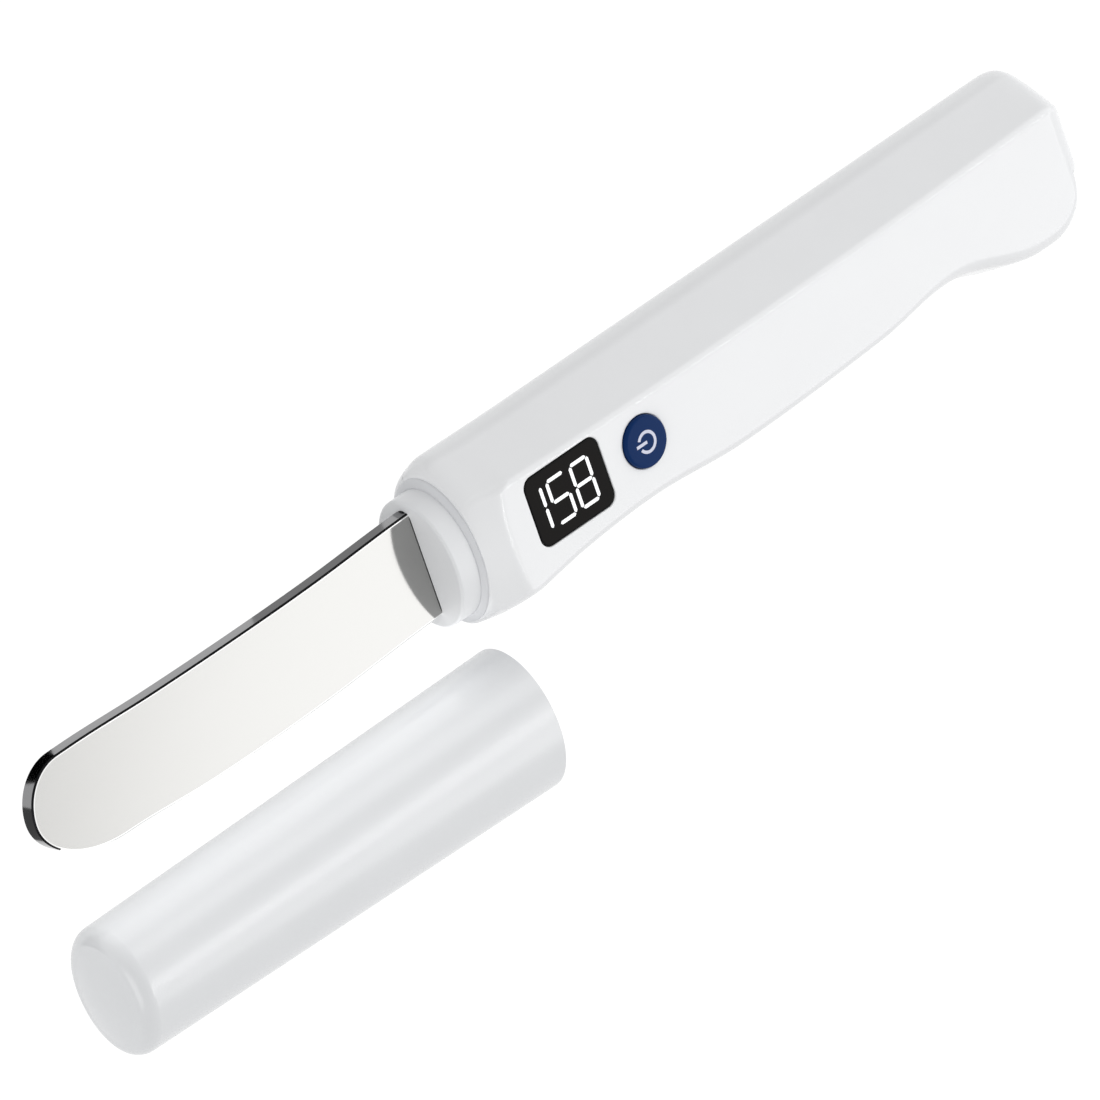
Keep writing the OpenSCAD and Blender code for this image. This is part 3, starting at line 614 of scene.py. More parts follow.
@dataclass
class HandleForm:
    """Outer form of the handle: a faceted grip that runs out into an oval rim at the head.

    Distances d run from the rim to the tail. A section lies across the handle, as Y and as
    height over the middle.

    Attributes:
        spine: The spine's distance from the blade's axis.
        spine_flare: How much farther out the spine lies at the rim, over flare_run.
        edge_lean: Lean of the lower side between its round and the face, in degrees.
        crease: The crease's distance from the blade's axis at the palm.
        crease_head: How much farther out the crease lies at the rim.
        crease_tail: How much farther out it lies at the tail.
        face_radius: Radius between the face and the lower side.
        heel_face_radius: The same radius at the tail.
        tail_crown: How far the tail's end bulges, over crown_run.
        spine_corner: Corner of the outline where the spine meets the tail.
        heel_corner: Corner of the outline where the lower side meets the tail.
        head_line: Places and widths of the lower side from the rim.
        waist_line: Places, from the tail, and widths of the lower side before the heel.
        swell_run: Where the face's radius starts and ends to grow, from the tail.
        rim: Half sizes of the oval rim, whose middle lies neck_mid from the blade's axis.
        slope: Length of the slope behind the rim.
        slope_round: How softly the slope meets the face.
        slope_corner: How much longer the slope is at the crease and at the lower side.
        shoulder: Distance over which the outline comes out from the rim's oval.
        shoulder_stops: Where the first rings lie.
        end_shares: Sizes of the rings on the tail's end, as shares of its outline.
        head_wall: Thickness of the end wall at the rim.
    """

    length: float = 137.6
    thickness: float = 23.0
    wall: float = 1.8
    spine: float = 16.1
    spine_flare: float = 0.45
    flare_run: float = 24.0
    spine_radius: float = 6.0
    edge_radius: float = 6.0
    edge_lean: float = 18.0
    crease: float = 8.8
    crease_head: float = 1.1
    crease_tail: float = 1.7
    crease_radius: float = 1.8
    face_radius: float = 2.0
    heel_face_radius: float = 3.2
    tail_radius: float = 3.4
    tail_crown: float = 2.0
    crown_run: float = 14.0
    spine_corner: float = 5.0
    heel_corner: float = 7.5
    palm_at: float = 56.0
    palm_edge: float = 8.8
    heel_at: float = 12.0
    heel_edge: float = 10.9
    head_line: tuple[Flat, ...] = ((0, 10.4), (5, 10.5), (20, 8.44), (37, 7.6))
    waist_line: tuple[Flat, ...] = ((49, 7.7), (31, 6.0))
    swell_run: Flat = (44.0, 24.0)
    rim: Flat = (13.5, 10.2)
    neck_mid: float = 0.5
    slope: float = 5.6
    slope_round: float = 0.8
    slope_corner: float = 3.0
    shoulder: float = 3.2
    shoulder_stops: tuple[float, ...] = (0, 0.1, 0.25, 0.45, 0.7, 1, 1.35, 1.75, 2.2, 2.7, 3.2, 3.7,
                                         4.2, 4.6)
    end_shares: tuple[float, ...] = (0.97, 0.92, 0.84, 0.72, 0.58, 0.42, 0.26, 0.1)
    head_wall: float = 2.2

    @property
    def middle(self) -> float:
        """Height of the handle's middle over its back."""
        return self.thickness / 2

    @property
    def rim_x(self) -> float:
        """Place of the rim along X."""
        return self.length / 2

    def edge_at(self, d: float) -> float:
        """Gives the lower side's distance from the blade's axis.

        Args:
            d: Distance behind the rim.

        Returns:
            The distance along Y.
        """
        line = [*self.head_line, (self.palm_at, self.palm_edge),
                *((self.length - left, y) for left, y in self.waist_line),
                (self.length - self.heel_at, self.heel_edge)]
        return curve(line, d) - corner_in(d, self.length - self.tail_radius / 2, self.heel_corner)

    def crease_at(self, d: float) -> float:
        """Gives the place of the crease between the face and the spine's slope.

        Args:
            d: Distance behind the rim.

        Returns:
            The crease's Y.
        """
        run, extra = ((self.palm_at, self.crease_head) if d < self.palm_at
                      else (self.length - self.palm_at, self.crease_tail))
        return -self.crease - ((d - self.palm_at) / run) ** 2 * extra

    def spine_at(self, d: float) -> float:
        """Gives the place of the spine."""
        return (-self.spine - self.spine_flare * unit(1 - d / self.flare_run) ** 2
                + corner_in(d, self.length, self.spine_corner))

    def half_section(self, d: float, inset: float) -> list[Flat]:
        """Draws the upper half of a section, from the lower side over the face to the spine.

        Args:
            d: Distance behind the rim.
            inset: How far the section is drawn in.

        Returns:
            Its points, Y and height over the middle.
        """
        half = self.middle - inset
        spine_c = self.spine_at(d) + self.spine_radius
        rise = self.crease_at(d)
        reach = math.hypot(spine_c - rise, self.middle)
        lean = math.asin(self.spine_radius / reach) - math.atan2(spine_c - rise, self.middle)
        side = math.radians(self.edge_lean)
        edge_c = self.edge_at(d) - (self.edge_radius - self.middle * math.sin(side)) / math.cos(side)
        spine_r = self.spine_radius - inset
        edge_r = self.edge_radius - inset
        crease_foot = spine_c - (spine_r - half * math.sin(lean)) / math.cos(lean)
        face_foot = edge_c + (edge_r - half * math.sin(side)) / math.cos(side)
        crease_r = max(0.3, self.crease_radius - inset)
        swell = [(self.length - self.swell_run[0], self.face_radius),
                 (self.length - self.swell_run[1], self.heel_face_radius)]
        face_r = max(0.3, curve(swell, d) - inset)
        crease_y = crease_foot + crease_r * math.tan((math.pi / 2 - lean) / 2)
        face_y = face_foot - face_r * math.tan((math.pi / 2 - side) / 2)
        turned = math.degrees(lean)
        low = arc((edge_c, 0), edge_r, 0, self.edge_lean, 5)
        shoulder = arc((face_y, half - face_r), face_r, self.edge_lean, 90, 9)
        ridge = arc((crease_y, half - crease_r), crease_r, 90, 180 - turned, 9)
        back = arc((spine_c, 0), spine_r, 180 - turned, 180, 12)
        return (low + self.between(low[-1], shoulder[0], 3) + shoulder
                + self.between(shoulder[-1], ridge[0], 10) + ridge
                + self.between(ridge[-1], back[0], 5) + back)

    def lift(self, d: float, y: float) -> float:
        """Gives the share of the way from the rim's oval up to the section's height.

        Args:
            d: Distance behind the rim.
            y: Distance from the blade's axis.

        Returns:
            The share, which eases in where the slope meets the face.
        """
        run = (self.slope + corner_in(-y, -self.crease_at(d), self.slope_corner)
               + corner_in(y, self.edge_at(d), self.slope_corner))
        left, half = run - d, self.slope_round
        if left < -half:
            return 1.0
        eased = left if left > half else (left + half) ** 2 / (4 * half)
        return 1 - eased / run

    @staticmethod
    def between(a: Flat, b: Flat, steps: int) -> list[Flat]:
        """Gives the points between two ends of a straight stretch, without the ends."""
        return [(mix(a[0], b[0], i / steps), mix(a[1], b[1], i / steps)) for i in range(1, steps)]

    def ring(self, d: float, inset: float) -> list[Point]:
        """Draws the closed section at a distance behind the rim.

        Args:
            d: Distance behind the rim.
            inset: How far the section is drawn in.

        Returns:
            Its points in millimetres.
        """
        half = self.half_section(d, inset + corner_in(d, self.length, self.tail_radius))
        section = half + [(y, -z) for y, z in reversed(half[1:-1])]
        a, b = self.rim[0] - inset, self.rim[1] - inset
        u = unit(1 - d / self.shoulder)
        across = math.sqrt(1 - u * u)
        points = []
        for y, z in section:
            t = math.atan2(z / b, (y + self.neck_mid) / a)
            points.append(self.crowned((self.rim_x - d,
                                        mix(a * math.cos(t) - self.neck_mid, y, across),
                                        self.middle + mix(b * math.sin(t), z, self.lift(d, y)))))
        return points

    def crowned(self, p: Point) -> Point:
        """Moves a point out where the tail bulges at mid height.

        Args:
            p: A point on the form.

        Returns:
            The point in its new place.
        """
        u = unit((self.crown_run - self.rim_x - p[0]) / self.crown_run)
        v = (p[2] - self.middle) / self.middle
        return (p[0] - self.tail_crown * u * u * (1 - v * v), p[1], p[2])

    def end_ring(self, share: float) -> list[Point]:
        """Draws a ring on the tail's end.

        Args:
            share: The share of the end's outline that it is drawn in to.

        Returns:
            Its points.
        """
        rim = self.ring(self.length, 0)
        c = (self.spine_at(self.length) + self.edge_at(self.length)) / 2
        flat = [(-self.rim_x, c + (p[1] - c) * share, self.middle + (p[2] - self.middle) * share)
                for p in rim]
        return [self.crowned(p) for p in flat]

    def solid(self, name: str, inset: float = 0.0) -> bpy.types.Object:
        """Builds the whole outer form.

        Args:
            name: The piece's name.
            inset: How far the form is drawn in.

        Returns:
            The form.
        """
        head = [*self.shoulder_stops]
        head += [self.slope + self.slope_round * i / 4 for i in range(-4, 5)]
        head += [self.slope + 0.9 + 0.3 * i for i in range(1, 13)]
        start, heel = head[-1] + 0.8, self.length - self.heel_at
        grip_steps, tail_steps, turn_step = 72, 8, 6
        grip = [mix(start, heel, i / grip_steps) for i in range(grip_steps + 1)]
        tail = [mix(heel, self.length - self.tail_radius, i / tail_steps)
                for i in range(1, tail_steps)]
        end = [self.length - self.tail_radius * (1 - math.sin(math.radians(a)))
               for a in range(0, 91, turn_step)]
        rings = [self.ring(d, inset) for d in head + grip + tail + end]
        rings += [self.end_ring(share) for share in self.end_shares]
        return loft(name, rings)

    def cavity(self, name: str) -> bpy.types.Object:
        """Builds the room inside the walls.

        Args:
            name: The piece's name.

        Returns:
            The room's solid.
        """
        heel, end, grip_steps = self.length - self.heel_at, self.length - self.wall, 24
        stops = [self.head_wall, self.shoulder, self.slope - self.slope_round,
                 self.slope + self.slope_round]
        stops += [mix(self.slope + 3, heel, i / grip_steps) for i in range(grip_steps + 1)]
        stops += [mix(heel, end, u) for u in (0.3, 0.6, 0.8, 0.93, 1)]
        return loft(name, [self.ring(d, self.wall) for d in stops])


@dataclass
class Handle:
    """The two moulded shells with the pockets of the window, button, neck, screws and inlet."""

    form: HandleForm = field(default_factory=HandleForm)
    parting: float = 7.4
    seam: float = 0.1
    groove: float = 0.25
    groove_half: float = 0.1
    inlet_gap: float = 0.1
    inlet_depth: float = 20.0
    lip: float = 0.22
    screw_recess: float = 1.8
    screw_depth: float = 5.9
    screw_past: float = 0.004
    front: bpy.types.Object | None = None
    rear: bpy.types.Object | None = None

    def build(self, window: "Window", button: "PowerButton", neck: "Neck") -> None:
        """Models both shells.

        Args:
            window: The window, which gives its pocket.
            button: The button, which gives its hole.
            neck: The neck, which gives its opening.
        """
        whole = self.form.solid("shell_front")
        combine(whole, self.form.cavity("room"), Cut.TAKE)
        combine(whole, neck.opening(), Cut.TAKE)
        combine(whole, self.inlet_opening(), Cut.TAKE)
        combine(whole, self.seam_ring(), Cut.TAKE)
        take(whole)
        bpy.ops.object.duplicate()
        self.rear = bpy.context.object
        self.rear.name = self.rear.data.name = "shell_rear"
        self.front = whole
        far = self.form.length
        combine(self.front, block("upper", (-far, -far, self.parting), (far, far, far)), Cut.KEEP)
        combine(self.rear, block("lower", (-far, -far, -far),
                                 (far, far, self.parting - self.seam)), Cut.KEEP)
        for tool in window.pocket(self.form.thickness, self.lip):
            combine(self.front, tool, Cut.TAKE)
        combine(self.front, button.hole(self.form.thickness, self.lip), Cut.TAKE)
        self.drill_screws()
        for shell in (self.front, self.rear):
            smooth(shell)

    def seam_ring(self) -> bpy.types.Object:
        """Makes the tool that cuts the groove along the parting line.

        Returns:
            The tool.
        """
        far = self.form.length
        ring = block("seam", (-far, -far, self.parting - self.seam - self.groove_half),
                     (far, far, self.parting + self.groove_half))
        combine(ring, self.form.solid("core", self.groove), Cut.TAKE)
        return ring

    def inlet_opening(self) -> bpy.types.Object:
        """Makes the tool that cuts the charging inlet's opening in the tail.

        Returns:
            The tool.
        """
        low, high = span("usb_socket")
        half = ((high.y - low.y) / 2 + self.inlet_gap, (high.z - low.z) / 2 + self.inlet_gap)
        tool = plate("inlet", (0, 0), (half[0] * 2, half[1] * 2), half[1] - 0.01, 0,
                     self.inlet_depth)
        # Z, X, Y of the plate become X, Y, Z
        tool.data.transform(Matrix(((0, 0, 1, 0), (1, 0, 0, 0), (0, 1, 0, 0), (0, 0, 0, 1))))
        _, y, z = centre_of(low, high)
        tool.data.transform(Matrix.Translation(Vector((low.x - self.inlet_depth / 2, y, z)) * MM))
        return tool

    def drill_screws(self) -> None:
        """Cuts the screws' recesses in the back, each with a rounded lip."""
        start = self.lip - self.screw_past
        for x, y in screw_places():
            tool = post("drill", (x, y, start), self.screw_recess, self.screw_depth - start, 48)
            flare(tool, 2, start, self.lip, (x, y, start),
                  (self.screw_recess, self.screw_recess), -1)
            combine(self.rear, tool, Cut.TAKE)

    def dress(self) -> None:
        """Gives the shells their finish and bodies."""
        finish = SHELL.make()
        dress(self.front, finish, Body.HANDLE, "white_shell", "front_housing")
        dress(self.rear, finish, Body.HANDLE, "white_shell", "rear_cover")


def screw_places() -> list[Flat]:
    """Finds the middles of the four housing screws from their node.

    Returns:
        X and Y of each in millimetres.
    """
    points = [v.co / MM for v in frame["nodes"]["housing_screws"].data.vertices]
    head = 5  # wider than a screw's head, narrower than the way between two screws
    groups: list[list[Vector]] = []
    for p in points:
        for group in groups:
            if abs(group[0].x - p.x) < head and abs(group[0].y - p.y) < head:
                group.append(p)
                break
        else:
            groups.append([p])
    return [((min(p.x for p in g) + max(p.x for p in g)) / 2,
             (min(p.y for p in g) + max(p.y for p in g)) / 2) for g in groups]


# ---------- neck ----------


@dataclass
class Neck:
    """The oval collar that holds the blade, with the soft ring at its foot."""

    half: Flat = (11.75, 9.2)
    mid: float = -0.5
    edge: float = 0.5
    slot_gap: float = 0.18
    ring_free: float = 0.25
    ring_edge: float = 0.3
    ring_rounding: float = 0.12
    ring_fit: float = 0.02
    mouth_gap: float = 0.1
    mouth_run: Flat = (6.0, 5.0)
    collar: bpy.types.Object | None = None
    ring: bpy.types.Object | None = None

    @property
    def height(self) -> float:
        """Height of the neck's axis over the back."""
        return HandleForm().middle

    def opening(self) -> bpy.types.Object:
        """Makes the tool that opens the handle's end wall for the collar.

        Returns:
            The tool.
        """
        rim = HandleForm().rim_x
        return oval_bar("mouth", rim - self.mouth_run[0], rim + self.mouth_run[1],
                        (self.mid, self.height),
                        (self.half[0] + self.mouth_gap, self.half[1] + self.mouth_gap))

    def build(self, blade: "Blade") -> None:
        """Models the collar and the ring.

        Args:
            blade: The blade, which gives the slot.
        """
        low, high = span("neck_collar")
        self.collar = oval_bar("neck_oval", low.x, high.x, (self.mid, self.height), self.half)
        round_edges(self.collar, level(0, high.x), self.edge, 5)
        combine(self.collar, blade.slot(self.slot_gap), Cut.TAKE)
        smooth(self.collar)
        low, high = span("neck_gasket")
        self.ring = self.sloped_ring(low, high)
        combine(self.ring, oval_bar("bore", low.x - 1, high.x + 1, (self.mid, self.height),
                                    (self.half[0] + self.ring_fit, self.half[1] + self.ring_fit)),
                Cut.TAKE)
        smooth(self.ring)

    def sloped_ring(self, low: Vector, high: Vector) -> bpy.types.Object:
        """Models the ring at the collar's foot, which slopes out to the handle's rim.

        Args:
            low: Lowest corner of the ring.
            high: Highest corner of the ring.

        Returns:
            The ring, not yet bored.
        """
        outer = ((high.y - low.y) / 2, (high.z - low.z) / 2)
        inner = (self.half[0] + self.ring_free, self.half[1] + self.ring_free)
        ring = oval_bar("neck_ring", low.x, low.x + self.ring_edge, (self.mid, self.height), outer)
        select(ring, Element.FACE, level(0, low.x + self.ring_edge))
        extrude((high.x - low.x - self.ring_edge, 0, 0))
        bpy.ops.transform.resize(value=(1, inner[0] / outer[0], inner[1] / outer[1]),
                                 center_override=(0, self.mid * MM, self.height * MM))
        rest()
        edges = [level(0, low.x + self.ring_edge), level(0, high.x)]
        round_edges(ring, lambda e: any(test(e) for test in edges), self.ring_rounding, 3)
        return ring

    def dress(self) -> None:
        """Gives the collar and the ring their finish."""
        dress(self.collar, NECK.make(), Body.HANDLE, "white_neck", "neck_collar")
        dress(self.ring, RING.make(), Body.HANDLE, "soft_ring", "neck_gasket")


# ---------- blade ----------


@dataclass
class Blade:
    """The polished blade: a bowed outline with a round tip, its edges broken on both faces.

    Attributes:
        reach: Length in front of the rim.
        root: Length of the full outline behind the rim.
        chamfer: Width of the broken edge, painted near black as a dark reflection.
        lip: Width of the lips along that edge, painted bright as a highlight.
        tip_y: Where the tip lies across the blade.
        tip_top: Share of the reach at which the tip starts on the spine's side.
        tip_low: The same share on the belly's side.
        tang: Length and width of the tang.
        face_tilt: Faces that look up at least this much are polished.
        lip_tilt: Broken faces that look up more than this get the painted highlight.
        side_tilt: Faces that look up less than this are the ground sides, whose metal colour is
            darkened to paint darker reflections.
        bright_side: Broken faces that look to the belly more than this get the painted highlight.
        spine_line: Shares of the reach, and the spine's Y there.
        belly_line: The same for the belly.
    """

    thickness: float = 3.0
    reach: float = 93.95
    root: float = 3.2
    chamfer: float = 0.36
    lip: float = 0.1
    tip_y: float = -1.2
    tip_top: float = 0.91
    tip_low: float = 0.82
    tang: Flat = (25.0, 13.0)
    tang_y: float = -1.0
    tang_free: float = 0.01
    slot_low: float = 0.2
    slot_round: float = 0.96
    face_tilt: float = 0.99
    lip_tilt: float = 0.85
    side_tilt: float = 0.3
    bright_side: float = 0.54
    spine_line: tuple[Flat, ...] = ((-0.04, -10.4), (0.1, -10.2), (0.28, -9.5), (0.47, -9.3),
                                    (0.68, -9.5), (0.88, -10.1))
    belly_line: tuple[Flat, ...] = ((-0.04, 8.6), (0.1, 8.75), (0.32, 9.75), (0.47, 10.05),
                                    (0.63, 9.9), (0.82, 9.0))
    body: bpy.types.Object | None = None

    def outline(self) -> list[Flat]:
        """Draws the outline in plan, from the root along the spine and back along the belly.

        Returns:
            Its points, as distance in front of the rim and Y.
        """
        long_steps, tip_steps = 44, 28

        def side(line: Sequence[Flat], share: float) -> list[Flat]:
            """Draws the long stretch of a side up to a share of the reach."""
            return [(self.reach * mix(0, share, i / long_steps),
                     curve(line, mix(0, share, i / long_steps))) for i in range(long_steps)]

        def nose(line: Sequence[Flat], share: float) -> list[Flat]:
            """Draws the quarter of the tip that a side runs into.

            Args:
                line: The side's line.
                share: The share of the reach at which the tip starts.

            Returns:
                The quarter's points, from the side to the very tip.
            """
            y = curve(line, share)
            angles = [math.pi / 2 * i / tip_steps for i in range(tip_steps + 1)]
            return [(self.reach * mix(share, 1, math.sin(a)),
                     self.tip_y + (y - self.tip_y) * math.cos(a)) for a in angles]

        top = side(self.spine_line, self.tip_top) + nose(self.spine_line, self.tip_top)
        low = side(self.belly_line, self.tip_low) + nose(self.belly_line, self.tip_low)[:-1]
        return ([(-self.root, self.spine_line[0][1])] + top + low[::-1]
                + [(-self.root, self.belly_line[0][1])])

    def slab(self, name: str, points: Sequence[Flat], bottom: float, top: float) -> bpy.types.Object:
        """Draws a flat slab with the blade's outline.

        Args:
            name: The piece's name.
            points: The outline, as distance in front of the rim and Y.
            bottom: Height of its underside.
            top: Height of its upper side.

        Returns:
            The slab.
        """
        rest()
        bpy.ops.mesh.primitive_circle_add(vertices=len(points), radius=MM, fill_type="NGON")
        piece = settle(name)
        turn = 2 * math.pi / len(points)
        rim = HandleForm().rim_x
        for v in piece.data.vertices:
            x, y = points[round(math.atan2(v.co.y, v.co.x) / turn) % len(points)]
            v.co = Vector((rim + x, y, bottom)) * MM
        select(piece, Element.FACE, lambda f: True)
        extrude((0, 0, top - bottom))
        close_edit()
        return piece

    def build(self) -> None:
        """Models the blade with its tang."""
        middle = HandleForm().middle
        low, high = middle - self.thickness / 2, middle + self.thickness / 2
        self.body = self.slab("blade_body", self.outline(), low, high)
        for width in (self.chamfer, self.lip):
            round_edges(self.body, lambda e: level(2, low)(e) or level(2, high)(e), width, 1)
        rim = HandleForm().rim_x
        half = self.tang[1] / 2
        tang = block("tang", (rim - self.tang[0], self.tang_y - half, low + self.tang_free),
                     (rim - self.root + 1, self.tang_y + half, high - self.tang_free))
        combine(self.body, tang, Cut.JOIN)
        smooth(self.body, 14)

    def slot(self, gap: float) -> bpy.types.Object:
        """Makes the tool that cuts the blade's slot in the collar.

        Args:
            gap: The gap round the blade.

        Returns:
            The tool.
        """
        low, high = span("neck_collar")
        y0, y1 = self.spine_line[0][1] - gap, self.belly_line[0][1] + self.slot_low + gap
        half = self.thickness / 2 + gap
        z = HandleForm().middle
        tool = block("slot", (low.x - 1, y0, z - half), (high.x + 2, y1, z + half))
        round_edges(tool, lambda e: abs(e.verts[0].co.x - e.verts[1].co.x) > MM,
                    half * self.slot_round, 8)
        return tool

    def dress(self) -> None:
        """Gives the blade its polished faces, ground sides darkened in colour as a painted
        reflection, broken edges painted near black as a dark reflection, and lips painted bright as
        a highlight.
        """
        dress(self.body, STEEL.make(), Body.HANDLE, "polished_steel", "blade")
        for finish in (EDGE, PAINTED_DARK_CHAMFER, PAINTED_HIGHLIGHT_LIP):
            self.body.data.materials.append(finish.make())
        # Slot 1 is the sides' painted darker reflection, slot 2 the chamfers' painted dark
        # reflection, slot 3 the painted highlight
        side, dark, bright = 1, 2, 3
        for face in self.body.data.polygons:
            tilt = abs(face.normal.z)
            if tilt < self.side_tilt:
                face.material_index = side
            elif tilt < self.face_tilt:
                gets_painted_highlight = tilt > self.lip_tilt or face.normal.y > self.bright_side
                face.material_index = bright if gets_painted_highlight else dark


# ---------- window ----------


@dataclass
class Window:
    """The dark window with the lit number behind it.

    Attributes:
        corner: Radius of the window's corners.
        ledge: Width of the ledge that carries it.
        tape: Thickness of the tape under it.
        rim: Width of the black rim round the clear glass.
        bar: Width of a lit bar.
        tip_gap: Gap between the ends of two bars.
        tip_run: Length of a bar's pointed end, as a share of half its width.
        tip_width: Width of that end's point, as a share of the bar's.
        digit: Width and height of a digit between the middles of its bars.
        pitch: Distance between two digits.
        bars: The bars that are lit in each digit.
    """

    pocket_gap: float = 0.1
    corner: float = 2.0
    ledge: float = 0.8
    tape: float = 0.2
    through: float = 6.0
    edge: float = 0.12
    rim: float = 0.34
    bar: float = 0.64
    tip_gap: float = 0.24
    tip_run: float = 0.86
    tip_width: float = 0.16
    sunk: float = 0.1
    digit: Flat = (3.8, 7.7)
    pitch: float = 5.35
    relief: float = 0.03
    bars: dict[int, str] = field(default_factory=lambda: {1: "bc", 5: "afgcd", 8: "abcdefg"})
    glass: bpy.types.Object | None = None
    number: bpy.types.Object | None = None

    def pocket(self, face: float, lip: float) -> list[bpy.types.Object]:
        """Makes the tools that cut the window's pocket and opening.

        Args:
            face: Height of the handle's face.
            lip: Radius of the pocket's lip.

        Returns:
            The tools.
        """
        low, high = span("display_lens")
        centre = centre_of(low, high)[:2]
        size = (high.x - low.x + 2 * self.pocket_gap, high.y - low.y + 2 * self.pocket_gap)
        outer = plate("pocket", centre, size, self.corner + self.pocket_gap, low.z - self.tape,
                      face - lip)
        flare(outer, 2, face - lip, lip, (*centre, face), (size[0] / 2, size[1] / 2))
        inner = plate("through", centre, (size[0] - 2 * self.ledge, size[1] - 2 * self.ledge),
                      self.corner - self.ledge, low.z - self.through, face)
        return [outer, inner]

    def build(self) -> None:
        """Models the glass with its dark rim, and the lit bars on it."""
        low, high = span("display_lens")
        centre = centre_of(low, high)[:2]
        size = (high.x - low.x, high.y - low.y)
        self.glass = plate("window_glass", centre, size, self.corner, low.z, high.z)
        round_edges(self.glass, level(2, high.z), self.edge, 3)
        select(self.glass, Element.FACE, level(2, high.z))
        bpy.ops.mesh.inset(thickness=(self.rim - self.edge) * MM)
        smooth(self.glass, 40)
        self.number = self.lit_number(centre, high.z)

    def lit_number(self, centre: Flat, height: float) -> bpy.types.Object:
        """Models the number 158 from bars, read from the head to the tail.

        Args:
            centre: Middle of the window.
            height: Height of its upper side.

        Returns:
            All bars in one piece.
        """
        bars = []
        for place, digit in enumerate((1, 5, 8)):
            x = centre[0] + (1 - place) * self.pitch
            for name in self.bars[digit]:
                bars.append(self.lit_bar(name, x, centre[1], height))
        return join(bars, "number_bars")

    def lit_bar(self, name: str, x: float, y: float, height: float) -> bpy.types.Object:
        """Models one bar with tapered ends.

        Args:
            name: The bar's letter, a to g.
            x: Where the digit's right side lies.
            y: Where the digit's middle lies.
            height: Height of the window's upper side.

        Returns:
            The bar.
        """
        w, h = self.digit
        # Along the digit's width it reads towards the tail, along its height towards the spine
        middles = {"a": (w / 2, -h / 2), "b": (0, -h / 4), "c": (0, h / 4), "d": (w / 2, h / 2),
                   "e": (w, h / 4), "f": (w, -h / 4), "g": (w / 2, 0)}
        across = name in "adg"
        run = (w if across else h / 2) - self.tip_gap
        dx, dy = middles[name]
        sizes = (run - self.bar, self.bar) if across else (self.bar, run - self.bar)
        low = (x + dx - sizes[0] / 2, y + dy - sizes[1] / 2, height - self.sunk)
        high = (x + dx + sizes[0] / 2, y + dy + sizes[1] / 2, height + self.relief)
        piece = block("bar", low, high)
        for side in (-1, 1):
            axis = 0 if across else 1
            select(piece, Element.FACE, lambda f: f.normal[axis] * side > 0.9)
            extrude(along(axis, side * self.bar / 2 * self.tip_run))
            scale = along(1 - axis, self.tip_width, 1.0)
            middle = [c * MM for c in centre_of(low, high)]
            bpy.ops.transform.resize(value=scale, center_override=middle)
            rest()
        return piece

    def dress(self) -> None:
        """Gives the glass, its rim and the bars their finishes."""
        dress(self.glass, GLASS.make(), Body.HANDLE, "black_window", "display_lens")
        self.glass.data.materials.append(GLASS_RIM.make())
        for face in self.glass.data.polygons:
            # Of the faces that look up, only the clear middle has more than four corners
            clear = face.normal.z > 0.9 and len(face.vertices) > 4
            face.material_index = 0 if clear else 1
        dress(self.number, LIT.make(), Body.HANDLE, "lit_segment", "digit_segments")


# ---------- button ----------


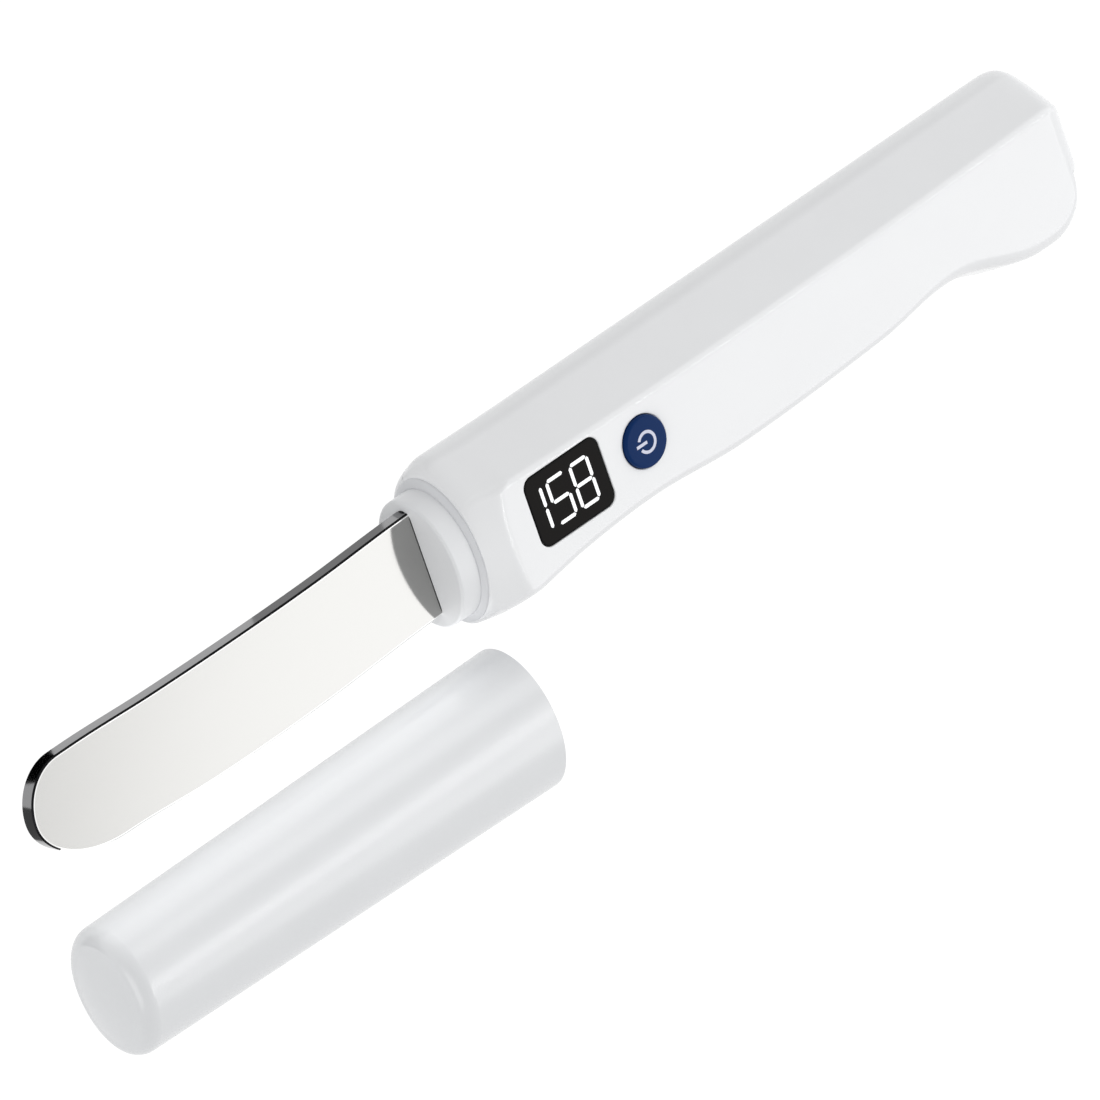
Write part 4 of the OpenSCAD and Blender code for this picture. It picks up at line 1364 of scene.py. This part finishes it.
@dataclass
class PowerButton:
    """The round button cap with its printed symbol.

    Attributes:
        flange: Height of the wide foot that holds the cap under the face.
        ring_radius: Radius of the symbol's ring, at the middle of its line.
        line: Width of the symbol's lines.
        gap_angle: Half the ring's opening, in degrees.
        bar_reach: How far the bar runs out from the cap's middle.
    """

    radius: float = 4.45
    gap: float = 0.1
    edge: float = 0.45
    flange: float = 0.851
    hole_depth: float = 3.0
    dome: float = 0.08
    dome_steps: int = 8
    ring_radius: float = 1.71
    line: float = 0.54
    gap_angle: float = 27.0
    bar_start: float = 0.02
    bar_reach: float = 2.35
    relief: float = 0.015
    sunk: float = 0.06
    cap: bpy.types.Object | None = None
    symbol: bpy.types.Object | None = None

    def middle(self) -> tuple[float, float, float]:
        """Gives the cap's middle, X and Y, and the height of its top."""
        low, high = span("power_button")
        return (*centre_of(low, high)[:2], high.z)

    def hole(self, face: float, lip: float) -> bpy.types.Object:
        """Makes the tool that cuts the button's hole.

        Args:
            face: Height of the handle's face.
            lip: Radius of the hole's lip.

        Returns:
            The tool.
        """
        x, y, _ = self.middle()
        radius = self.radius + self.gap
        tool = post("hole", (x, y, face - self.hole_depth), radius, self.hole_depth - lip, 96)
        flare(tool, 2, face - lip, lip, (x, y, face), (radius, radius))
        return tool

    def build(self) -> None:
        """Models the cap and its symbol."""
        x, y, top = self.middle()
        low, high = span("power_button")
        wide = (high.x - low.x) / 2
        self.cap = post("button_cap", (x, y, low.z), wide, self.flange, 96)
        select(self.cap, Element.FACE, level(2, low.z + self.flange))
        bpy.ops.mesh.inset(thickness=(wide - self.radius) * MM)
        extrude((0, 0, top - self.dome - (low.z + self.flange)))
        rest()
        round_edges(self.cap, level(2, top - self.dome), self.edge, 6)
        crown(self.cap, 2, top - self.dome, self.dome, (x, y, top), self.dome_steps)
        smooth(self.cap, 40)
        self.symbol = self.power_symbol(x, y, top)

    def power_symbol(self, x: float, y: float, top: float) -> bpy.types.Object:
        """Models the printed symbol: an open ring and a bar that points to the blade.

        Args:
            x: Middle of the cap along X.
            y: Middle of the cap along Y.
            top: Height of the cap's highest point.

        Returns:
            The symbol.
        """
        half = self.line / 2
        low_z, high_z = top - self.sunk, top + self.relief
        start = math.radians(self.gap_angle)
        ring = block("symbol_ring", (x + self.ring_radius - half, y - 0.001, low_z),
                     (x + self.ring_radius + half, y + 0.001, high_z))
        select(ring, Element.FACE, lambda f: f.normal.y > 0.9)
        bpy.ops.mesh.select_all(action="INVERT")
        bpy.ops.mesh.delete(type="FACE")
        bpy.ops.mesh.select_all(action="SELECT")
        centre = Vector((x, y, 0)) * MM
        mesh = bmesh.from_edit_mesh(ring.data)
        for v in mesh.verts:
            v.co = centre + Matrix.Rotation(-start, 3, "Z") @ (v.co - centre)
        bmesh.update_edit_mesh(ring.data)
        bpy.ops.mesh.spin(steps=72, angle=2 * math.pi - 2 * start, center=centre, axis=(0, 0, 1),
                          use_auto_merge=False)
        bpy.ops.mesh.select_all(action="SELECT")
        bpy.ops.mesh.remove_doubles(threshold=MM * 1e-4)
        close_edit()
        bar = block("symbol_bar", (x + self.bar_start, y - half, low_z),
                    (x + self.bar_reach, y + half, high_z))
        return join((ring, bar), "button_symbol")

    def dress(self) -> None:
        """Gives the cap and the symbol their finishes."""
        dress(self.cap, NAVY.make(), Body.BUTTON, "navy_cap", "power_button")
        dress(self.symbol, PRINT.make(), Body.BUTTON, "navy_cap")


# ---------- cover ----------


@dataclass
class CoverShell:
    """The pulled-off oval cover: an open mouth with a soft lip, and a closed end with a low dome.

    Attributes:
        end_radius: Rounding of the closed end.
        dome: Height of its dome.
        taper: How much the cover is drawn in at that end, on each side.
        lip: Rounding of the mouth's rim.
    """

    wall: float = 1.0
    end_radius: float = 3.0
    dome: float = 1.2
    dome_steps: int = 10
    taper: float = 1.2
    lip: float = 0.3
    shell: bpy.types.Object | None = None

    def bar(self, name: str, inset: float, start: float, end: float, radius: float,
            middle: Flat, half: Flat) -> bpy.types.Object:
        """Models an oval bar with a rounded, domed end.

        Args:
            name: The piece's name.
            inset: How far it is drawn in all round.
            start: Its open end along X.
            end: Its domed end along X, dome included.
            radius: Radius round that end.
            middle: Its axis, Y and Z.
            half: Half sizes of the oval before it is drawn in.

        Returns:
            The bar.
        """
        flat = end - self.dome
        piece = oval_bar(name, start, flat, middle, (half[0] - inset, half[1] - inset), 160)
        round_edges(piece, level(0, flat), radius, 10)
        crown(piece, 0, flat, self.dome, (flat, *middle), self.dome_steps)
        return piece

    def draw_in(self, low: Vector, high: Vector) -> None:
        """Draws the cover in towards its closed end, with its lower side left on the ground.

        Args:
            low: Lowest corner of the cover.
            high: Highest corner of the cover.
        """
        _, mid_y, mid_z = centre_of(low, high)
        half_y, half_z = (high.y - low.y) / 2, (high.z - low.z) / 2
        for v in self.shell.data.vertices:
            drawn = self.taper * unit((v.co.x / MM - low.x) / (high.x - low.x))
            y, z = v.co.y / MM - mid_y, v.co.z / MM - mid_z
            v.co.y = (mid_y + y * (1 - drawn / half_y)) * MM
            v.co.z = (mid_z + z * (1 - drawn / half_z) - drawn) * MM

    def build(self) -> None:
        """Models the cover."""
        low, high = span("cover_shell")
        middle = centre_of(low, high)[1:]
        half = ((high.y - low.y) / 2, (high.z - low.z) / 2)
        self.shell = self.bar("cover_body", 0, low.x, high.x, self.end_radius, middle, half)
        room = self.bar("cover_room", self.wall, low.x - 1, high.x - self.wall,
                        self.end_radius - self.wall, middle, half)
        combine(self.shell, room, Cut.TAKE)
        round_edges(self.shell, level(0, low.x), self.lip, 4)
        self.draw_in(low, high)
        smooth(self.shell, 40)

    def dress(self) -> None:
        """Gives the cover its satin finish."""
        dress(self.shell, COVER.make(), Body.COVER, "white_cover", "cover_shell")


# ---------- carried-over nodes ----------


@dataclass
class Insides:
    """The nodes that keep their own meshes: boards, cell, heater, leads and the inlet."""

    finishes: dict[str, Finish] = field(default_factory=lambda: {
        "screw_steel": SCREW,
        "ceramic": Finish("ceramic", (0.85, 0.83, 0.76), 0.6, mottle=0.05, grain=0.01),
        "mica": Finish("mica", (0.5, 0.42, 0.26), 0.35, mottle=0.18, mottle_size=3, grain=0.01),
        "nickel": Finish("nickel", (0.62, 0.61, 0.58), 0.26, metallic=1, mottle=0.05, grain=0.003,
                         stretch=(0.2, 1.0, 1.0)),
        "black_foam": Finish("black_foam", (0.03, 0.03, 0.03), 0.9, mottle=0.3, mottle_size=0.6,
                             grain=0.05),
        "dark_plastic": Finish("dark_plastic", (0.03, 0.03, 0.033), 0.45, mottle=0.12, grain=0.01),
        "pale_silicone": Finish("pale_silicone", (0.7, 0.7, 0.7), 0.6, mottle=0.04),
        "green_board": Finish("green_board", (0.02, 0.14, 0.06), 0.3, mottle=0.2, mottle_size=2,
                              grain=0.01, coat=0.3),
        "cell_wrap": Finish("cell_wrap", (0.03, 0.12, 0.4), 0.28, mottle=0.08, grain=0.01),
        "wire_red": Finish("wire_red", (0.5, 0.03, 0.03), 0.45, mottle=0.08),
        "wire_white": Finish("wire_white", (0.78, 0.78, 0.76), 0.5, mottle=0.05),
    })

    def dress(self) -> None:
        """Gives every node that keeps its mesh a finish for its slot."""
        made: dict[str, bpy.types.Material] = {}
        slots = {s["node"]: s["material_slot"] for s in frame["record"]["subparts"]}
        for name, node in frame["nodes"].items():
            slot = slots[name]
            if slot not in self.finishes:
                continue
            if slot not in made:
                made[slot] = self.finishes[slot].make()
            node.data.materials.clear()
            node.data.materials.append(made[slot])
            LOG.info("%s: dressed as %s", name, slot)


# ---------- studio ----------


def blank_material(name: str) -> bpy.types.Material:
    """Makes a material that has no nodes yet.

    Args:
        name: Its name.

    Returns:
        The material.
    """
    material = bpy.data.materials.new(name)
    material.use_nodes = True
    material.node_tree.nodes.clear()
    return material


def hang_card(name: str, matrix: Matrix, size: Flat, tone: float, glows: bool = False) -> None:
    """Hangs a card that the camera misses.

    Args:
        name: The card's name.
        matrix: Its place and turn.
        size: Its size in metres.
        tone: How bright it is.
        glows: Whether it also lights the object, beside being mirrored.
    """
    rest()
    bpy.ops.mesh.primitive_plane_add(size=1)
    card = settle(name)
    card.matrix_world = matrix @ Matrix.Diagonal((*size, 1, 1))
    material = blank_material(name)
    tree = material.node_tree
    shade = tree.nodes.new("ShaderNodeEmission")
    shade.inputs["Strength"].default_value = tone
    out = tree.nodes.new("ShaderNodeOutputMaterial")
    tree.links.new(shade.outputs["Emission"], out.inputs["Surface"])
    card.data.materials.append(material)
    card.visible_camera = card.visible_shadow = False
    card.visible_diffuse = glows
    card.visible_transmission = card.visible_volume_scatter = False


@dataclass
class Softbox:
    """A soft studio lamp that faces the object; with a card's tone, mirrors see a card behind it."""

    name: str
    towards: Point
    distance: float
    size: Flat
    radiance: float
    turn: float = 0.0
    card: float = 0.0
    card_size: Flat = (0.0, 0.0)
    card_behind: float = 10.0

    def build(self, target: Vector) -> None:
        """Hangs the lamp.

        Args:
            target: The point that it faces, in metres.
        """
        data = bpy.data.lights.new(self.name, "AREA")
        data.shape = "RECTANGLE"
        data.size, data.size_y = self.size
        data.energy = self.radiance * math.pi * self.size[0] * self.size[1]
        lamp = bpy.data.objects.new(self.name, data)
        bpy.context.scene.collection.objects.link(lamp)
        way = Vector(self.towards).normalized()
        turned = (way.to_track_quat("Z", "Y").to_matrix().to_4x4()
                  @ Matrix.Rotation(math.radians(self.turn), 4, "Z"))
        lamp.matrix_world = Matrix.Translation(target + way * self.distance) @ turned
        lamp.visible_camera = False
        if self.card:
            behind = Matrix.Translation(way * self.card_behind * MM)
            hang_card(self.name + "_card", behind @ lamp.matrix_world, self.card_size, self.card)
        LOG.info("%s: lamp at %.2f m", self.name, self.distance)


@dataclass
class Card:
    """A card laid over the floor, or tilted about X, in millimetres."""

    name: str
    place: Flat
    size: Flat
    tone: float
    height: float = 0.4
    glows: bool = False
    tilt: float = 0.0

    def build(self) -> None:
        """Lays the card."""
        place = (Matrix.Translation(Vector((*self.place, self.height)) * MM)
                 @ Matrix.Rotation(math.radians(self.tilt), 4, "X"))
        hang_card(self.name, place, (self.size[0] * MM, self.size[1] * MM), self.tone, self.glows)


@dataclass
class Studio:
    """White floor and surround, soft lamps and the camera.

    Attributes:
        sky: Strength of the surround's light.
        glow: Share of the floor's own light that reaches the object.
        white: Strength of the surround where it is seen.
        floor_white: Strength of the floor where it is seen.
        shadow: Share of the shadow that shows on the floor.
        target: The point that the lamps face, in millimetres.
        width: Width of the view at the object, in millimetres.
        aim_right: How far right of the rim's middle the camera aims.
        aim_up: How far above the rim's middle it aims.
        towards: The way from the object to the camera.
        right: What lies to the right in the view.
    """

    sky: float = 0.62
    glow: float = 0.35
    white: float = 1.05
    floor_size: float = 6.0
    floor_drop: float = 0.02
    floor_grey: float = 0.7
    floor_white: float = 1.1
    shadow: float = 0.06
    target: Point = (40.0, 10.0, 12.0)
    lens: float = 1200.0
    sensor: float = 36.0
    clip_end: float = 20.0
    width: float = 178.28
    aim_right: float = 17.29
    aim_up: float = 0.389
    towards: Point = (0.527, -0.39, 0.7555)
    right: Point = (-0.7, 0.303, 0.645)
    lamps: tuple[Softbox, ...] = (
        Softbox("key", (-0.651, 0.36, 0.669), 1.52, (0.9, 0.58), 0.92, card=1.73,
                card_size=(1.06, 0.7)),
        Softbox("crease", (-0.46, 0.137, 0.877), 1.4, (1.0, 0.05), 12.0, turn=-14.5),
        Softbox("spine_side", (-0.65, -0.45, 0.61), 1.4, (0.8, 0.8), 1.2),
        Softbox("tail_side", (-0.9, 0.0, 0.44), 1.4, (0.8, 0.8), 0.85),
        Softbox("blade_side", (0.92, 0.2, 0.34), 1.7, (0.95, 0.95), 1.35),
    )
    cards: tuple[Card, ...] = (
        Card("root_card", (86.0, -20.0), (30.0, 18.0), 0.52),
        Card("nose_card", (156.0, -19.5), (19.0, 14.0), 0.0),
        Card("side_card", (175.0, 10.0), (26.0, 30.0), 0.16),
        Card("spine_glow", (0.0, -95.0), (220.0, 120.0), 0.65, height=0.3, glows=True),
        Card("cover_glow", (117.5, 13.5), (90.0, 9.0), 1.4, height=15.5, glows=True, tilt=90.0),
    )

    def build(self) -> None:
        """Sets up the floor, the surround, the lamps and the camera."""
        bpy.context.scene.view_settings.view_transform = "Standard"
        self.build_floor()
        self.build_world()
        for lamp in self.lamps:
            lamp.build(Vector(self.target) * MM)
        for card in self.cards:
            card.build()
        self.build_camera()

    @staticmethod
    def seen_ray(tree: bpy.types.NodeTree) -> bpy.types.NodeSocket:
        """Adds nodes that give 1 for rays from the camera, mirrors and glass.

        Args:
            tree: The node tree that they join.

        Returns:
            The socket that gives the value.
        """
        path = tree.nodes.new("ShaderNodeLightPath")
        total = path.outputs["Is Camera Ray"]
        for name in ("Is Glossy Ray", "Is Transmission Ray"):
            node = tree.nodes.new("ShaderNodeMath")
            node.operation = "MAXIMUM"
            tree.links.new(total, node.inputs[0])
            tree.links.new(path.outputs[name], node.inputs[1])
            total = node.outputs["Value"]
        return total

    def build_floor(self) -> None:
        """Lays the pale floor under the object."""
        rest()
        bpy.ops.mesh.primitive_plane_add(size=self.floor_size)
        floor = settle("floor")
        floor.location.z = -self.floor_drop * MM
        material = blank_material("floor_white")
        tree = material.node_tree
        plain = tree.nodes.new("ShaderNodeBsdfDiffuse")
        plain.inputs["Color"].default_value = (self.floor_grey, self.floor_grey, self.floor_grey, 1)
        white = tree.nodes.new("ShaderNodeEmission")
        white.inputs["Strength"].default_value = self.floor_white
        share = tree.nodes.new("ShaderNodeMath")
        share.operation = "MULTIPLY_ADD"
        share.inputs[1].default_value = 1 - self.shadow - self.glow
        share.inputs[2].default_value = self.glow
        tree.links.new(self.seen_ray(tree), share.inputs[0])
        blend = tree.nodes.new("ShaderNodeMixShader")
        tree.links.new(share.outputs["Value"], blend.inputs["Fac"])
        tree.links.new(plain.outputs["BSDF"], blend.inputs[1])
        tree.links.new(white.outputs["Emission"], blend.inputs[2])
        out = tree.nodes.new("ShaderNodeOutputMaterial")
        tree.links.new(blend.outputs["Shader"], out.inputs["Surface"])
        floor.data.materials.append(material)

    def build_world(self) -> None:
        """Makes the surround: white where it is seen, plain light elsewhere."""
        world = bpy.data.worlds.new("surround")
        world.use_nodes = True
        tree = world.node_tree
        tree.nodes.clear()
        light = tree.nodes.new("ShaderNodeBackground")
        white = tree.nodes.new("ShaderNodeBackground")
        for background, strength in ((light, self.sky), (white, self.white)):
            background.inputs["Color"].default_value = (1, 1, 1, 1)
            background.inputs["Strength"].default_value = strength
        blend = tree.nodes.new("ShaderNodeMixShader")
        tree.links.new(self.seen_ray(tree), blend.inputs["Fac"])
        tree.links.new(light.outputs["Background"], blend.inputs[1])
        tree.links.new(white.outputs["Background"], blend.inputs[2])
        out = tree.nodes.new("ShaderNodeOutputWorld")
        tree.links.new(blend.outputs["Shader"], out.inputs["Surface"])
        bpy.context.scene.world = world

    def build_camera(self) -> None:
        """Places the long camera over the blade's spine side."""
        back = Vector(self.towards).normalized()
        right = Vector(self.right)
        right = (right - right.dot(back) * back).normalized()
        up = back.cross(right)
        rim = Vector((HandleForm().rim_x, 0, HandleForm().middle))
        target = (rim + right * self.aim_right + up * self.aim_up) * MM
        data = bpy.data.cameras.new("camera")
        data.lens, data.sensor_width = self.lens, self.sensor
        data.clip_end = self.clip_end
        camera = bpy.data.objects.new("camera", data)
        bpy.context.scene.collection.objects.link(camera)
        matrix = Matrix((right, up, back)).transposed().to_4x4()
        matrix.translation = target + back * (self.width * MM * self.lens / self.sensor)
        camera.matrix_world = matrix
        bpy.context.scene.camera = camera


def main() -> None:
    """Builds and dresses every sub-assembly."""
    logging.basicConfig(level=logging.INFO, format="%(message)s")
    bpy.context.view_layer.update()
    blade, window, button, neck = Blade(), Window(), PowerButton(), Neck()
    handle, cover = Handle(), CoverShell()
    handle.build(window, button, neck)
    neck.build(blade)
    for part in (blade, window, button, cover):
        part.build()
    for part in (handle, neck, blade, window, button, cover, Insides()):
        part.dress()
    Studio().build()


if __name__ == "__main__":
    main()
